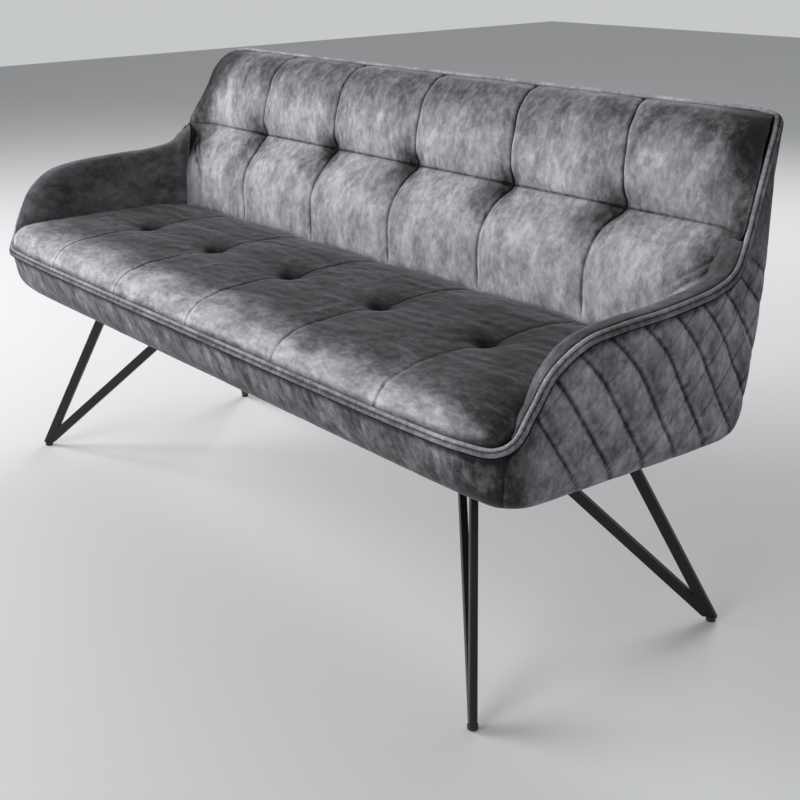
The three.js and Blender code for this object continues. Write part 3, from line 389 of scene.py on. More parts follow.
def crushed_velvet(name, drawn, crush, seed, swing=0.32):
    """Polyester velvet with a crushed pile. Where the pile stands it is light, where it lies it is dark.
    A point attribute holds how far the pile stands together with painted light and painted shade set
    per piece, and cloudy streaks drawn out along the pile break it up. A weak sheen gives the pale rim
    of the standing fibres."""
    material, tree, bsdf = new_material(
        name, Roughness=0.85, Specular_IOR_Level=0.2, Sheen_Weight=0.25, Sheen_Roughness=0.4,
        Sheen_Tint=linear("#d9dbe0"))
    place = add_node(tree, "ShaderNodeTexCoord")
    # Tone of each point: how far the pile stands, with painted light and painted shade
    pile_and_painted_light = add_node(tree, "ShaderNodeAttribute", {"attribute_name": "pile_and_painted_light"})
    stretched = add_node(tree, "ShaderNodeMapping", Vector=place.outputs["Object"],
                         Location=(seed, seed, seed), Scale=drawn)
    clouds = add_node(tree, "ShaderNodeTexNoise", Vector=stretched.outputs["Vector"], Scale=1 / 0.06, Detail=3.0,
                      Roughness=0.5, Distortion=0.4)
    streaks = add_node(tree, "ShaderNodeTexNoise", Vector=stretched.outputs["Vector"], Scale=1 / crush, Detail=5.0,
                       Roughness=0.7, Distortion=0.2)
    fibres = add_node(tree, "ShaderNodeTexNoise", Vector=place.outputs["Object"], Scale=1 / 0.0018, Detail=2.0)
    mixed = add_node(tree, "ShaderNodeMix", {"data_type": "FLOAT"}, i0=0.55,
                     i2=clouds.outputs["Fac"], i3=streaks.outputs["Fac"])
    strewn = add_node(tree, "ShaderNodeMapRange", {}, Value=mixed.outputs[0], i1=0.3, i2=0.7, i3=-swing, i4=swing)
    pile_and_light_level = add_node(tree, "ShaderNodeMath", {"operation": "ADD", "use_clamp": True},
                     i0=pile_and_painted_light.outputs["Fac"], i1=strewn.outputs["Result"])
    shade = add_node(tree, "ShaderNodeMath", {"operation": "POWER"}, i0=pile_and_light_level.outputs[0], i1=2.0)
    tone = add_node(tree, "ShaderNodeMix", {"data_type": "RGBA"}, Factor=shade.outputs[0],
                    i6=linear("#17181a"), i7=linear("#c8c9cd"))
    grain = add_node(tree, "ShaderNodeMapRange", {}, Value=fibres.outputs["Fac"], i3=0.84, i4=1.16)
    add_node(tree, "ShaderNodeMix", {"data_type": "RGBA", "blend_type": "MULTIPLY"}, Factor=1.0, i6=tone.outputs[2],
             i7=grain.outputs["Result"], links=[(2, bsdf.inputs["Base Color"])])
    add_node(tree, "ShaderNodeMapRange", {}, Value=pile_and_light_level.outputs[0], i3=0.92, i4=0.7,
             links=[("Result", bsdf.inputs["Roughness"])])
    relief = add_node(tree, "ShaderNodeBump", Strength=0.3, Distance=0.001, Height=streaks.outputs["Fac"])
    add_node(tree, "ShaderNodeBump", Strength=0.25, Distance=0.0003, Height=fibres.outputs["Fac"],
             Normal=relief.outputs["Normal"], links=[("Normal", bsdf.inputs["Normal"])])
    return material


def paint_pile_and_light(piece, pile_and_painted_light):
    """Writes the tone, 0 to 1, at each point of a piece: how far the pile stands, with painted light and painted
    shade; points beyond the list get 0.4.
    """
    values = np.full(len(piece.data.vertices), 0.4, np.float32)
    flat = np.asarray(pile_and_painted_light, np.float32).reshape(-1)
    values[:len(flat)] = flat[:len(values)]
    piece.data.attributes.new("pile_and_painted_light", "FLOAT", "POINT").data.foreach_set("value", values)


shell_velvet = crushed_velvet("crushed_velvet_shell", (1.2, 1.2, 0.8), 0.013, 3.1)


def quilting(y, z, along_x):
    """The diamond quilting at a point of the wall: strong seams one way, weaker ones across.
    Returns the seam count, the relief in mm, the painted light and shade (lighter on one side of each
    pillow, darker in the seams, with a light strip beside them) and how near a seam the point is."""
    level, first_pitch, second_pitch, rear_pitch = 500, 64, 78, 66
    first = (y + 44 - 0.7 * (level - z) + 0.0035 * np.maximum(0, z - level) ** 2) / first_pitch
    second = (y - 32 - 1.1 * (z - level)) / second_pitch
    if along_x:
        first, second = (y - 0.85 * (z - level)) / rear_pitch, (y + 0.85 * (z - level)) / rear_pitch
    # The seams slant, so the way straight to one is shorter than the way along the floor
    gap_first = np.abs(first - np.round(first)) * first_pitch * 0.8
    gap_second = np.abs(second - np.round(second)) * second_pitch * 0.7
    weak = 1.0 if along_x else 0.4 + 0.5 * smoothstep(y, -60, 160)
    pillow = np.abs(np.sin(np.pi * first)) ** 0.32
    pillow = pillow * (1 - 0.4 * weak + 0.4 * weak * np.abs(np.sin(np.pi * second)) ** 0.32)
    stitch = 1.5 * bell(gap_first, 2.0) + 1.2 * weak * bell(gap_second, 2.0)
    # Painted light on one side of each quilted pillow; painted shade in the seams, with a painted highlight strip
    # beside each strong seam
    lit = 0.085 * np.cos(2 * np.pi * (first + 0.32)) + 0.04 * weak * np.cos(2 * np.pi * (second - 0.2))
    dark = 0.36 * bell(gap_first, 1.9) + 0.28 * weak * bell(gap_second, 1.9)
    dark = dark + 0.1 * bell(gap_first, 7) - 0.12 * bell(gap_first - 6, 3)
    return first, 3.1 * pillow - stitch, lit - dark, bell(gap_first, 11)


def panel(name, node, start, end, along, up, quilted):
    """A wall panel: its outer face in fine steps, over the edge under the welt and down inside."""
    dense = np.linspace(start, end, 2400)
    run = np.concatenate([[0], np.cumsum(np.linalg.norm(np.diff(stations(dense)["top"], axis=0), axis=1))])
    places = np.interp(np.linspace(0, run[-1], along), run, dense)
    s = stations(places)
    weld = beside_welt(s, -welt_reach, 0)
    low = np.array([underside + tuck_height * k for k in (0, 0.012, 0.05, 0.12, 0.22, 0.36, 0.52, 0.7, 0.86)])
    heights = [np.full(along, h) for h in low]
    heights += [underside + tuck_height + (weld[:, 2] - underside - tuck_height) * k
                for k in np.linspace(0, 1, up)[:-1]]
    outer = np.stack([wall_point(s, h, 0) for h in heights] + [weld], 1)
    wall_normal = unit(s["foot_normal"][:, None] + (s["top_normal"] - s["foot_normal"])[:, None]
                       * np.clip((outer[..., 2:3] - underside) / (s["top"][:, None, 2:3] - underside), 0, 1))
    spot = outer[..., 0] if quilted == "rear" else outer[..., 1]
    z = outer[..., 2]
    near_top = np.clip((weld[:, None, 2] - z) / 16, 0, 1) ** 0.5
    near_foot = np.clip((z - underside) / 14, 0, 1) ** 0.5
    near_end = np.clip(np.minimum(places - start, end - places) / 0.2, 0, 1)[:, None] ** 0.5
    lift = 1.6 * folds(outer, 70, (1, 1, 0.8), 4.2)
    if quilted:
        line, quilt, shade, by_seam = quilting(spot, z, quilted == "rear")
        pucker = folds(outer, 9, (1, 2.5, 0.8) if quilted == "side" else (2.5, 1, 0.8), 5.5, 2)
        field = smoothstep(line, -3.06, -2.98) * (1 - smoothstep(z, 600, 640)) if quilted == "side" else 1.0 + 0 * z
        lift = lift * (1 - 0.5 * field) + field * (quilt + 0.7 * by_seam * pucker) + (1 - field) * 1.5
        # Painted shade: the quilted panels are darker toward the top, from 600 to 720 mm
        pile_and_painted_light = 0.66 + field * (shade + 0.12 * by_seam * pucker) - 0.34 * smoothstep(z, 600, 720)
    else:
        pucker = folds(outer, 14, (1, 1, 5), 9.1, 2)
        lift = lift + 1.2 + 0.9 * pucker
        # Painted shade: the apron is darker at the bottom, below 400 mm, where it rolls under
        pile_and_painted_light = 0.3 + 0.18 * pucker + 0.12 * smoothstep(z, 365, 400)
    # Painted shade: the velvet is darker beside the seam at each front corner
    seam = wall_point(stations(np.full(outer.shape[1], corner_seam)), z[0], 0)
    from_seam = np.hypot(np.abs(outer[..., 0]) - seam[:, 0], outer[..., 1] - seam[:, 1])
    pile_and_painted_light = pile_and_painted_light - (0.4 if quilted else 0.2) * bell(from_seam, 48)
    # The cover is pulled flat round the rear corners
    from_corner = np.abs(last_station - np.abs(last_station - places))
    flat = 1 - 0.75 * bell(from_corner - rear_seam, 1.1)[:, None]
    lift = lift * near_top * near_foot * near_end * flat - 0.5 * (1 - near_end)
    outer = outer + wall_normal * lift[..., None]
    lip = welt_reach / 2
    inner_top = s["top"][:, 2] - arm_board_drop - soft_gap
    inner = [beside_welt(s, -lip, lip + welt_clearance), wall_point(s, inner_top, panel_thickness)]
    inner += [wall_point(s, inner_top + (underside - inner_top) * k, panel_thickness)
              for k in (0.5, 0.8, 0.9, 0.96, 1)]
    # Painted shade just under the welt and down at the foot of each panel
    pile_and_painted_light = pile_and_painted_light - 0.4 * smoothstep(weld[:, None, 2] - z, 15, 0) - 0.12 * smoothstep(z, underside + 40, underside)
    piece = lofted(name, np.concatenate([outer, np.stack(inner, 1)], 1), shell_velvet)
    paint_pile_and_light(piece, np.concatenate([pile_and_painted_light, np.full((along, len(inner)), 0.3)], 1))
    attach(piece, "root")
    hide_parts(node)


play = 0.006
panel("front_apron_cover", "front_apron", -corner_seam + play, corner_seam - play, 320, 12, None)
panel("right_side_cover", "right_side_panel", corner_seam + play, rear_seam - play, 210, 90, "side")
panel("left_side_cover", "left_side_panel",
      2 * last_station - rear_seam + play, 2 * last_station - corner_seam - play, 210, 90, "side")
panel("rear_cover", "rear_panel", rear_seam + play, 2 * last_station - rear_seam - play, 640, 130, "rear")


# Double welt. Two velvet-covered cords side by side, sewn down through the groove between them. It
# trims the seat's front edge, the arms and the top of the back. Its inner cord is painted lighter than
# the outer one, as painted light, and both are painted darker into the groove, as painted shade.
welt_velvet = crushed_velvet("crushed_velvet_welt", (1, 1, 1), 0.008, 7.7)
top_welt_start = 0.881 * last_station
stitch_pitch = 5.0


def double_welt(name, node, start, end, steps):
    s = stations(np.linspace(start, end, steps))
    along = np.concatenate([[0], np.cumsum(np.linalg.norm(np.diff(s["top"], axis=0), axis=1))])
    pucker = 0.12 * np.cos(2 * np.pi * along / stitch_pitch)
    ring = []
    for side in (1, -1):
        turns = np.linspace(-168, 168, 15) if side > 0 else np.linspace(12, 348, 15)
        for turn in np.radians(turns):
            radius = cord_radius - 0.1 + pucker
            ring.append(beside_welt(s, side * cord_pitch / 2 + radius * np.cos(turn), -radius * np.sin(turn)))
    piece = lofted(name, np.stack(ring, 1), welt_velvet)
    # Painted light on the inner cord, painted shade into the groove between the cords
    groove = np.abs(np.linspace(-1, 1, 15)) ** 4
    paint_pile_and_light(piece, np.broadcast_to(np.concatenate([0.78 - 0.7 * groove, 0.56 - 0.5 * groove]), (steps, 30)))
    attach(piece, "root")
    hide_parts(node)


double_welt("front_double_welt", "front_welt", -corner_seam + play, corner_seam - play, 800)
double_welt("right_arm_double_welt", "right_arm_welt", corner_seam + play, top_welt_start - play, 500)
double_welt("left_arm_double_welt", "left_arm_welt", 2 * last_station - top_welt_start + play,
            2 * last_station - corner_seam - play, 500)
double_welt("top_double_welt", "top_welt", top_welt_start + play, 2 * last_station - top_welt_start - play, 700)


# Welt stitching. Grey polyester thread lies in the groove of the welt, one stitch every 5 mm. It is
# spun thread, slightly glossy, with its twist as fine diagonal ribs.
thread, tree, bsdf = new_material("polyester_thread", Base_Color=linear("#3c3d40"), Roughness=0.55, Sheen_Weight=0.2)
place = add_node(tree, "ShaderNodeTexCoord")
twist = add_node(tree, "ShaderNodeTexWave", {"bands_direction": "DIAGONAL"},
                 Vector=place.outputs["Object"], Scale=1 / 0.0012)
add_node(tree, "ShaderNodeBump", Strength=0.4, Distance=0.0001, Height=twist.outputs["Fac"],
         links=[("Normal", bsdf.inputs["Normal"])])
thread_radius, stitch_length = 0.45, 3.6
dense = np.linspace(-last_station, last_station, 6000)
groove = stations(dense)
run = np.concatenate([[0], np.cumsum(np.linalg.norm(np.diff(groove["top"], axis=0), axis=1))])
stitch_points, stitch_faces = [], []
for middle in np.arange(stitch_pitch, run[-1], stitch_pitch):
    place_at = np.interp([middle - stitch_length / 2, middle, middle + stitch_length / 2], run, dense)
    s = stations(place_at)
    start = len(stitch_points)
    for i, (depth, size) in enumerate(((1.0, 0.3), (0.1, 1), (1.0, 0.3))):
        spot = {key: value[i:i + 1] for key, value in s.items()}
        for turn in range(6):
            angle = turn * math.pi / 3
            stitch_points.append(beside_welt(spot, thread_radius * size * math.cos(angle),
                                             depth - thread_radius * size * math.sin(angle))[0])
    for ring in (0, 1):
        for turn in range(6):
            a, b = start + ring * 6 + turn, start + ring * 6 + (turn + 1) % 6
            stitch_faces.append((a, b, b + 6, a + 6))
    stitch_faces += [tuple(range(start + 5, start - 1, -1)), tuple(range(start + 12, start + 18))]
stitches = build("welt_stitches", np.array(stitch_points) + np.array([0, mid_y, 0]), stitch_faces, thread)
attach(stitches, "root")


# Seat cushion. One long foam cushion under velvet. Five tufts pull it down along its middle, and a
# seam runs from each to the front and to the back. A short cloth simulation stretches the velvet
# between its held edges and tufts, which gives its soft creases. The pile lies along the bench.
seat_velvet = crushed_velvet("crushed_velvet_seat", (0.7, 1.2, 1.2), 0.013, 1.3)
arm_thickness, pad_edge = 42, 11
full_pad, corner_blend = 0.381 * last_station, 0.024 * last_station
columns, seam_pitch = 6, 2 * (arm_half_span - 38) / 6
cushion_floor = front_welt - 34.4
back_share, back_lift = 0.745, 5
cushion_rear = front_line + back_share * welt_depth - back_lift - soft_gap
tuft_line = front_line + 0.53 * (back_share * welt_depth - back_lift)
seat_crown, round_reach, side_rim = 52, 104, 26


def pad_depth(places):
    thin = panel_thickness + pad_edge
    return thin + (arm_thickness - thin) * smoothstep(places, corner_seam, full_pad)


def seat_edge(places):
    s = stations(places)
    at_welt = beside_welt(s, welt_reach, 0)
    at_pad = wall_point(s, front_welt + welt_reach, pad_depth(places) + soft_gap)
    past_corner = smoothstep(places, corner_seam - corner_blend, corner_seam + corner_blend)[:, None]
    return at_welt + (at_pad - at_welt) * past_corner


def round_over(distance):
    return np.sqrt(1 - (1 - np.clip(distance / round_reach, 0, 1)) ** 2)


edge_places = np.linspace(0, corner_seam, 240)
front_edge = seat_edge(edge_places)
side_edge = seat_edge(np.linspace(corner_seam, pad_end, 240))


def tuft_folds(dx, dy):
    """Depth of the short sharp creases that run out from a tuft, by the place beside it."""
    depth = 0 * dx
    for angle, reach, size in ((155, 52, 3.2), (192, 34, 2.2), (20, 44, 2.6), (72, 26, 1.6), (-35, 28, 1.4)):
        c, s = math.cos(math.radians(angle)), math.sin(math.radians(angle))
        along, beside = dx * c + dy * s, dy * c - dx * s
        fade = smoothstep(along, 2, 10) * (1 - smoothstep(along, 0.3 * reach, reach))
        depth = depth + size * bell(beside, 3 + 0.09 * np.abs(along)) * fade
    return depth


def seat_skin(across, back):
    """The seat's skin before it is sewn, with each point's distance from its seam and tuft."""
    front = seat_edge(np.interp(np.abs(across) * side_edge[0, 0], front_edge[:, 0], edge_places))[:, 1:2]
    y = front + (cushion_rear - front) * back
    side_y = side_edge[0, 1] + (cushion_rear - side_edge[0, 1]) * back
    half_width = np.interp(side_y, side_edge[:, 1], side_edge[:, 0])
    x = across[:, None] * half_width
    rise = round_over(y - front_line)
    side_drop = (seat_crown - side_rim) * (1 - round_over(half_width - np.abs(x)))
    rear_drop = side_rim * (1 - round_over(cushion_rear + 5 - y))
    from_tufts = y - tuft_line
    # Each seam leaves its tuft a little to the right on the way to the front
    column = np.clip(np.round(x / seam_pitch), -2, 2)
    seam_x = column * seam_pitch + 22 * smoothstep(-from_tufts, 20, 230)
    from_seam = np.abs(x - seam_x)
    away = np.hypot(from_seam, from_tufts)
    pillow = np.sin(np.minimum(1, from_seam / seam_pitch * 2) * np.pi / 2)
    dimple = 8 * bell(away, 40) + 13 * bell(away, 14)
    relief = 3.5 * pillow - 0.5 * (1 - pillow) - dimple - tuft_folds(x - seam_x, from_tufts)
    z = front_welt + 8 * (1 - rise) + (seat_crown - side_drop + relief) * rise - rear_drop
    # The corners roll down to the welt too
    from_edge = np.clip((y - front) / 34, 0, 1)
    z = z - np.maximum(0, z[:, :1] - front_welt - 8) * (1 - np.sqrt(1 - (1 - from_edge) ** 2))
    return np.stack([x, y, z], -1), from_seam, from_tufts, away


def creased(skin, held, slack, swell, limit):
    """How far each point of a padded skin moves, in mm, when its cloth is a little too large, is blown
    up from within and is held where the weights say. The skin is an even grid."""
    rows, count = skin.shape[:2]
    index = np.arange(rows * count).reshape(rows, count)
    faces = np.stack([index[:-1, :-1], index[1:, :-1], index[1:, 1:], index[:-1, 1:]], -1).reshape(-1, 4)
    mesh = bpy.data.meshes.new("cloth_pattern")
    mesh.from_pydata((skin.reshape(-1, 3) / 1000).tolist(), [], faces.tolist())
    pattern = bpy.data.objects.new("cloth_pattern", mesh)
    scene.collection.objects.link(pattern)
    group = pattern.vertex_groups.new(name="held")
    for level in np.unique(np.round(held, 2)):
        group.add(np.flatnonzero(np.round(held, 2) == level).tolist(), float(level), "REPLACE")
    cloth = pattern.modifiers.new("Cloth", "CLOTH")
    settings = cloth.settings
    settings.quality = 6
    settings.mass = 0.3
    settings.tension_stiffness, settings.compression_stiffness, settings.shear_stiffness = 12, 8, 3
    settings.bending_stiffness = 5.0
    settings.vertex_group_mass = "held"
    settings.pin_stiffness = 1.0
    settings.shrink_min = -slack
    settings.use_pressure = True
    settings.uniform_pressure_force = swell
    settings.effector_weights.gravity = 0
    cloth.collision_settings.use_collision = False
    for frame_number in range(1, 21):
        scene.frame_set(frame_number)
    settled = pattern.evaluated_get(bpy.context.evaluated_depsgraph_get()).to_mesh()
    spots = np.empty(rows * count * 3, np.float32)
    settled.vertices.foreach_get("co", spots)
    bpy.data.objects.remove(pattern)
    bpy.data.meshes.remove(mesh)
    scene.frame_set(1)
    moved = spots.reshape(skin.shape) * 1000 - skin
    # The foam underneath lets the cloth rise but hardly sink
    out = unit(np.cross(np.gradient(skin, axis=0), np.gradient(skin, axis=1)))
    for _ in range(3):
        moved[1:-1, 1:-1] = (moved[1:-1, 1:-1] * 2 + moved[2:, 1:-1] + moved[:-2, 1:-1]
                             + moved[1:-1, 2:] + moved[1:-1, :-2]) / 6
    rise = (moved * out).sum(-1, keepdims=True)
    moved = moved + out * (np.clip(rise, -0.8, limit) - rise)
    length = np.linalg.norm(moved, axis=-1, keepdims=True)
    return moved * np.minimum(1, limit / np.maximum(length, 1e-6))


def regrid(field, places):
    """Values of an even grid read between its rows, on a smooth curve."""
    rows = len(field)
    padded = np.concatenate([2 * field[:1] - field[1:2], field, 2 * field[-1:] - field[-2:-1]])
    spot = np.clip(places, 0, 1) * (rows - 1)
    i = np.minimum(spot.astype(int), rows - 2)
    t = (spot - i)[:, None, None]
    a, b, c, d = (padded[i + k] for k in range(4))
    return b + t * (c - a) / 2 + t ** 2 * (a - 2.5 * b + 2 * c - d / 2) + t ** 3 * (1.5 * (b - c) + (d - a) / 2)


def cushion_columns(fine, count):
    """Places across a cushion from -1 to 1, gathered at its seams."""
    spread = np.linspace(0, 1, fine + 1)[:-1]
    eased = spread - 0.72 * np.sin(2 * np.pi * spread) / (2 * np.pi)
    return np.concatenate([[(c + e) / count * 2 - 1 for e in eased] for c in range(count)] + [[1.0]])


even, from_seam, from_tufts, away = seat_skin(np.linspace(-1, 1, 211), np.linspace(0, 1, 61))
held = 0.3 + 0.5 * bell(from_seam, 7) * np.where(from_tufts < 0, 1, 0.4) + np.exp(-(away / 14) ** 4)
held[[0, 1, -2, -1]] = held[:, [0, 1, -2, -1]] = 1
crease = creased(even, np.clip(held, 0, 1).reshape(-1), 0.009, 4.0, 6)

across, back = cushion_columns(54, columns), np.linspace(0, 1, 130) ** 1.1
skin, from_seam, from_tufts, away = seat_skin(across, back)
skin += regrid(regrid(crease, (across + 1) / 2).swapaxes(0, 1), back).swapaxes(0, 1)
calm = round_over(skin[..., 1] - front_line) * np.clip((cushion_rear - skin[..., 1]) / 30, 0, 1)
ripple = folds(skin, 18, (3.2, 1, 1), 5.1)
# The seam is tight on the front roll and slack by the tuft and behind it
tight = np.where(from_tufts < 0, 0.45 + 0.55 * smoothstep(-from_tufts, 60, 170), 0.6)
seam_line = tight * bell(from_seam, 1.8)
skin[..., 2] += calm * (2.2 * folds(skin, 60, (2.4, 1, 1), 2.7) + 0.8 * ripple
                        - 1.5 * tight * bell(from_seam, 5) - 1.3 * seam_line)
# Painted light and shade: the front roll is painted lighter and the seat darker toward the rear
rearward = smoothstep(skin[..., 1], front_line + 15, front_line + 130)
pile_and_painted_light = 0.83 - 0.72 * rearward + 0.05 * ripple
shaded = 0.26 * smoothstep(skin[..., 0], 50, 500) + 0.24 * smoothstep(skin[..., 0], 580, 740)
pile_and_painted_light = pile_and_painted_light - shaded * smoothstep(skin[..., 1], front_line + 10, front_line + 45) * (1 - rearward)
# Painted shade in the tufts, in the seams and low on the front wall by the welt; a painted highlight beside each seam
pile_and_painted_light = pile_and_painted_light - 0.5 * bell(away, 15) - 0.14 * bell(away, 30)
pile_and_painted_light = pile_and_painted_light - 0.35 * seam_line + 0.12 * bell(from_seam - 7, 5) * tight
pile_and_painted_light = pile_and_painted_light - 0.3 * smoothstep(skin[..., 2] - skin[:, :1, 2], 2, 0)
under_y = np.linspace(1, 0, 12) * (cushion_rear - skin[:, :1, 1]) + skin[:, :1, 1]
ramp = np.clip((under_y - skin[:, :1, 1] - 12) / seat_crown, 0, 1)
under = np.stack([across[:, None] * np.interp(under_y, side_edge[:, 1], side_edge[:, 0]), under_y,
                  front_welt - soft_gap + (cushion_floor - front_welt + soft_gap) * ramp], -1)
seat_cover = lofted("seat_cushion_cover", np.concatenate([skin, under], 1), seat_velvet)
paint_pile_and_light(seat_cover, np.concatenate([pile_and_painted_light, np.full((len(across), 12), 0.2)], 1))
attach(seat_cover, "root")
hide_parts("seat_cushion")


# Back cushion. A padded back in six columns and two rows, tufted where the seams cross, rolled over
# the top rail and sewn to the welt. Its velvet is stretched by the same short simulation. The pile
# runs up and down, and the back is painted lighter than the seat, as painted light.
back_velvet = crushed_velvet("crushed_velvet_back", (1.2, 1.2, 0.75), 0.013, 5.9)
face_shares = [
    (back_share, 0), (back_share, 0.15), (0.748, 0.24), (0.758, 0.38), (0.782, 0.47), (0.83, 0.57),
    (0.847, 0.615), (0.858, 0.7), (0.868, 0.77), (0.884, 0.84), (0.912, 0.915), (0.945, 0.965),
    (0.98, 0.998),
]
back_top = front_welt + back_rise
face_line = smooth_line([(0, front_line + b * welt_depth, cushion_floor + h * (back_top - cushion_floor))
                         for b, h in face_shares])
button_level, seat_level = front_welt + 214, front_welt + 36
arm_edge = arm_half_span - arm_thickness - panel_thickness - 12 - back_lift
foot_rear = top_line - 85
back_edge = beside_welt(stations(np.linspace(pad_end, top_welt_start, 200)), welt_reach + soft_gap, 0)
knots = np.linspace(0, len(face_shares) - 1, 1200)
knot_heights = face_line(knots)[:, 2]


def back_skin(across, rise):
    """The back's skin before it is sewn, its normals, and each point's distance from seam, row and welt."""
    spot = np.interp(rise, np.linspace(cushion_floor, back_top - 0.8, 1200), np.interp(
        np.linspace(cushion_floor, back_top - 0.8, 1200), knot_heights, knots))
    profile = face_line(spot)
    slope = unit(face_line(spot + 0.01) - face_line(spot - 0.01))
    normal = np.stack([0 * slope[:, 0], -slope[:, 2], slope[:, 1]], -1)[None]
    z = profile[:, 2]
    at_welt = smoothstep((z - front_welt) / back_rise, 0.47, 0.62)
    half_width = arm_edge + (np.interp(z, back_edge[:, 2], back_edge[:, 0]) - arm_edge) * at_welt
    x = across[:, None] * half_width
    column = np.clip(np.round(across * columns / 2), -2, 2)[:, None]
    # The lower seams bow a little to the left between the tuft and the seat
    bow = 6 * np.sin(np.pi * np.clip((button_level - z) / (button_level - seat_level), 0, 1))
    seam_x = column * half_width / 3 - bow
    from_seam = np.abs(x - seam_x)
    from_row = np.abs(z - button_level)[None] + 0 * x
    from_side = half_width - np.abs(x)
    away = np.hypot(x - column * half_width / 3, from_row)
    share = np.where(z > button_level, (z - button_level) / (back_top - button_level),
                     (button_level - z) / (button_level - seat_level))
    puff = np.sqrt(np.abs(np.sin(np.pi * np.minimum(1, share))))
    puff = puff * np.abs(np.sin(np.pi * (across[:, None] + 1) / 2 * columns)) ** 0.6
    edge = 1 - np.abs(across[:, None]) ** 10
    lift = 12 * puff * edge - 5 * bell(away, 38) - 9 * bell(away, 15)
    lift = lift - 0.8 * tuft_folds(x - column * half_width / 3, z - button_level + 0 * x) * edge
    lift = lift + 5 * smoothstep(z, 735, 775) * (1 - smoothstep(z, 800, back_top))
    skin = np.stack([x, profile[:, 1] + 0 * x, z + 0 * x], -1)
    sewn = at_welt * (1 - smoothstep(from_side, 0, 72))
    skin[..., 1] += (np.interp(z, back_edge[:, 2], back_edge[:, 1]) - skin[..., 1]) * sewn
    return skin + normal * lift[..., None], normal, from_seam, from_row, from_side, away, puff, edge


even_rise = np.linspace(cushion_floor, back_top - 0.8, 57)
even, normal, from_seam, from_row, from_side, away, puff, edge = back_skin(np.linspace(-1, 1, 215), even_rise)
held = 0.22 + 0.7 * np.maximum(bell(from_seam, 7), bell(from_row, 7)) + np.exp(-(away / 14) ** 4)
held[[0, 1, -2, -1]] = held[:, [0, 1, -2, -1]] = 1
held[even[..., 2] < seat_level - 10] = 1
crease = creased(even, np.clip(held, 0, 1).reshape(-1), 0.012, 4.0, 5)

# Rows gather at the seam between the two rows of columns
spread = np.linspace(-1, 1, 190)
rise = button_level + np.where(spread < 0, button_level - cushion_floor, back_top - 0.8 - button_level) * (
    np.sign(spread) * (0.25 * np.abs(spread) + 0.75 * np.abs(spread) ** 1.6))
across = cushion_columns(56, columns)
skin, normal, from_seam, from_row, from_side, away, puff, edge = back_skin(across, rise)
climbed = (rise - rise[0]) / (rise[-1] - rise[0])
skin += regrid(regrid(crease, (across + 1) / 2).swapaxes(0, 1), climbed).swapaxes(0, 1)
z = rise[None]
on_seam = (np.abs(across[:, None]) < 0.97) * smoothstep(z, 470, 500)
seam_line = on_seam * bell(from_seam, 1.8)
row_line = edge * bell(from_row, 1.8)
hold = edge * np.clip((back_top - z) / 25, 0, 1) ** 0.5
crumple = folds(skin, 20, (1, 1, 2.6), 3.3)
lift = hold * (1.4 * folds(skin, 70, (1, 1, 1.6), 8.8) + 0.6 * crumple)
# Two slack folds gather where the back meets the end of the arm
slack = sum(size * bell(z - height - 0.75 * (80 - from_side), 4.5) for height, size in ((556, 1.0), (571, 0.8)))
slack = slack * smoothstep(from_side, 96, 70) * smoothstep(from_side, 4, 16)
lift -= 3.0 * slack
lift -= 2.0 * on_seam * bell(from_seam, 6) + 2.0 * edge * bell(from_row, 6) + 1.2 * (seam_line + row_line)
skin += normal * lift[..., None]
# Painted light on the crown of each puff; painted shade toward the top, at both ends above the arms and in the slack
# folds; a painted highlight beside each seam
pile_and_painted_light = 0.78 + 0.08 * puff - 0.34 * smoothstep(z, 700, 795)
pile_and_painted_light = pile_and_painted_light - 0.5 * (1 - smoothstep(from_side, 5, 120)) * smoothstep(z, 540, 610) + 0.05 * crumple
pile_and_painted_light = pile_and_painted_light - 0.25 * slack + 0.12 * bell(from_seam - 7, 4) * on_seam
column = np.clip(np.round(across * columns / 2), -2, 2)[:, None]
# Painted shade: a dark patch to the left of and below each tuft
tuft_shade_patch = np.hypot((skin[..., 0] - column * skin[-1:, :, 0] / 3 + 34) / 42, (z - button_level + 26) / 26)
pile_and_painted_light = pile_and_painted_light - 0.2 * bell(tuft_shade_patch, 1) * edge
# Painted shade in the tufts and along the seams
pile_and_painted_light = pile_and_painted_light - 0.42 * bell(away, 23) - 0.2 * bell(away, 52) - 0.38 * seam_line - 0.38 * row_line
rail_foot, rail_height, rail_depth, board_depth, wood_gap = 770, 26, 20, 5, 0.3
hidden_half_width = 732
rear_heights = np.linspace(rail_foot + rail_height + soft_gap, cushion_floor, 10)
rear_rise = (rear_heights - underside) / (back_top - underside)
rear_y = foot_rear + (top_line - foot_rear) * rear_rise - (
    panel_thickness + 2 * soft_gap + rail_depth + wood_gap + board_depth + wood_gap)
rear_y = np.array([np.maximum(rear_y, np.interp(rear_heights, column[:, 2], column[:, 1]) + 4) for column in skin])
rear = np.stack([across[:, None] * hidden_half_width + 0 * rear_y, rear_y, rear_heights + 0 * rear_y], -1)
over = rear[:, :1].copy()
over[..., 1] = np.maximum(over[..., 1], top_line - panel_thickness - welt_reach / 2)
back_cover = lofted("back_cushion_cover", np.concatenate([skin, over, rear], 1), back_velvet)
paint_pile_and_light(back_cover, np.concatenate([pile_and_painted_light, np.full((len(across), 11), 0.3)], 1))
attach(back_cover, "root")
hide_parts("back_cushion")


# Arm pads. The inner skin of each arm: thin foam and velvet over the plywood arm board, rolled over
# its top and sewn to the welt. It runs in behind the seat and the back cushion.
pad_velvet = crushed_velvet("crushed_velvet_arm", (1.3, 0.7, 1.2), 0.017, 9.4, 0.2)
board_start = 0.286 * last_station


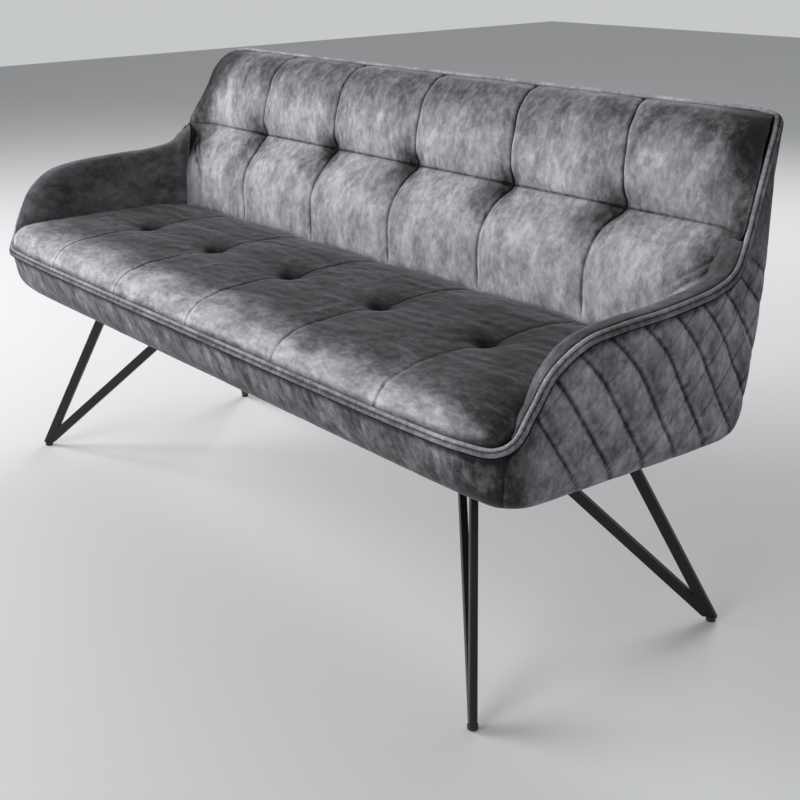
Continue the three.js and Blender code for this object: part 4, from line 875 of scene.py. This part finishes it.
def arm_pad(name, node, side):
    places = np.linspace(corner_seam + corner_blend, pad_end, 190)
    s = stations(places)
    if side < 0:
        s = {key: value * np.array([-1, 1, 1]) for key, value in s.items()}
    depth = pad_depth(places)
    top = s["top"][:, 2]
    board_face = panel_thickness + 2.6 + 12 * smoothstep(places, corner_seam, board_start)
    board_top = top - arm_board_drop + 2.6
    roll = np.minimum(22, (top - cushion_floor) / 2)
    hidden = [beside_welt(s, welt_reach / 2, welt_reach / 2 + welt_clearance),
              wall_point(s, board_top, panel_thickness + soft_gap), wall_point(s, board_top, board_face),
              wall_point(s, cushion_floor, board_face)]
    skin = [wall_point(s, cushion_floor + (top - roll - cushion_floor) * k, depth) for k in np.linspace(0, 1, 40)]
    edge = beside_welt(s, welt_reach, 0)
    start = skin[-1]
    out_a, out_b = wall_point(s, top + roll * 0.45, depth * 1.04), wall_point(s, top + roll * 0.5, depth * 0.5)
    for t in np.linspace(0, 1, 24)[1:]:
        skin.append(start * (1 - t) ** 3 + out_a * 3 * t * (1 - t) ** 2
                    + out_b * 3 * t ** 2 * (1 - t) + edge * t ** 3)
    skin = np.stack(skin, 1)
    rows = skin.shape[1]
    calm = np.clip(np.minimum(np.linspace(0, 1, rows), np.linspace(1, 0, rows) * 3) * 8, 0, 1)[None]
    inner = unit(np.cross(np.gradient(skin, axis=0), np.gradient(skin, axis=1)))
    inner *= np.sign((inner * np.array([-side, 0, 0.4])).sum(-1, keepdims=True))
    bump = 1.4 * folds(skin, 60, (1, 1.4, 1), 6.1) + 0.5 * folds(skin, 16, (1, 1, 2.2), 2.2)
    # Two slack folds gather where the arm meets the back
    fold_start, fold_end, fold_depth = 12.0, 13.4, 3.0
    corner = smoothstep(places, fold_start, fold_end)[:, None] * smoothstep(skin[..., 2], 500, 590)
    bump = bump + corner * fold_depth * np.cos((places[:, None] - fold_start - 0.2) * 5.5)
    skin = skin + inner * (bump * calm)[..., None]
    piece = lofted(name, np.concatenate([skin, np.stack(hidden, 1)], 1), pad_velvet)
    paint_pile_and_light(piece, np.full(len(piece.data.vertices), 0.41))
    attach(piece, "root")
    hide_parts(node)


arm_pad("right_arm_cover", "right_arm_pad", 1)
arm_pad("left_arm_cover", "left_arm_pad", -1)
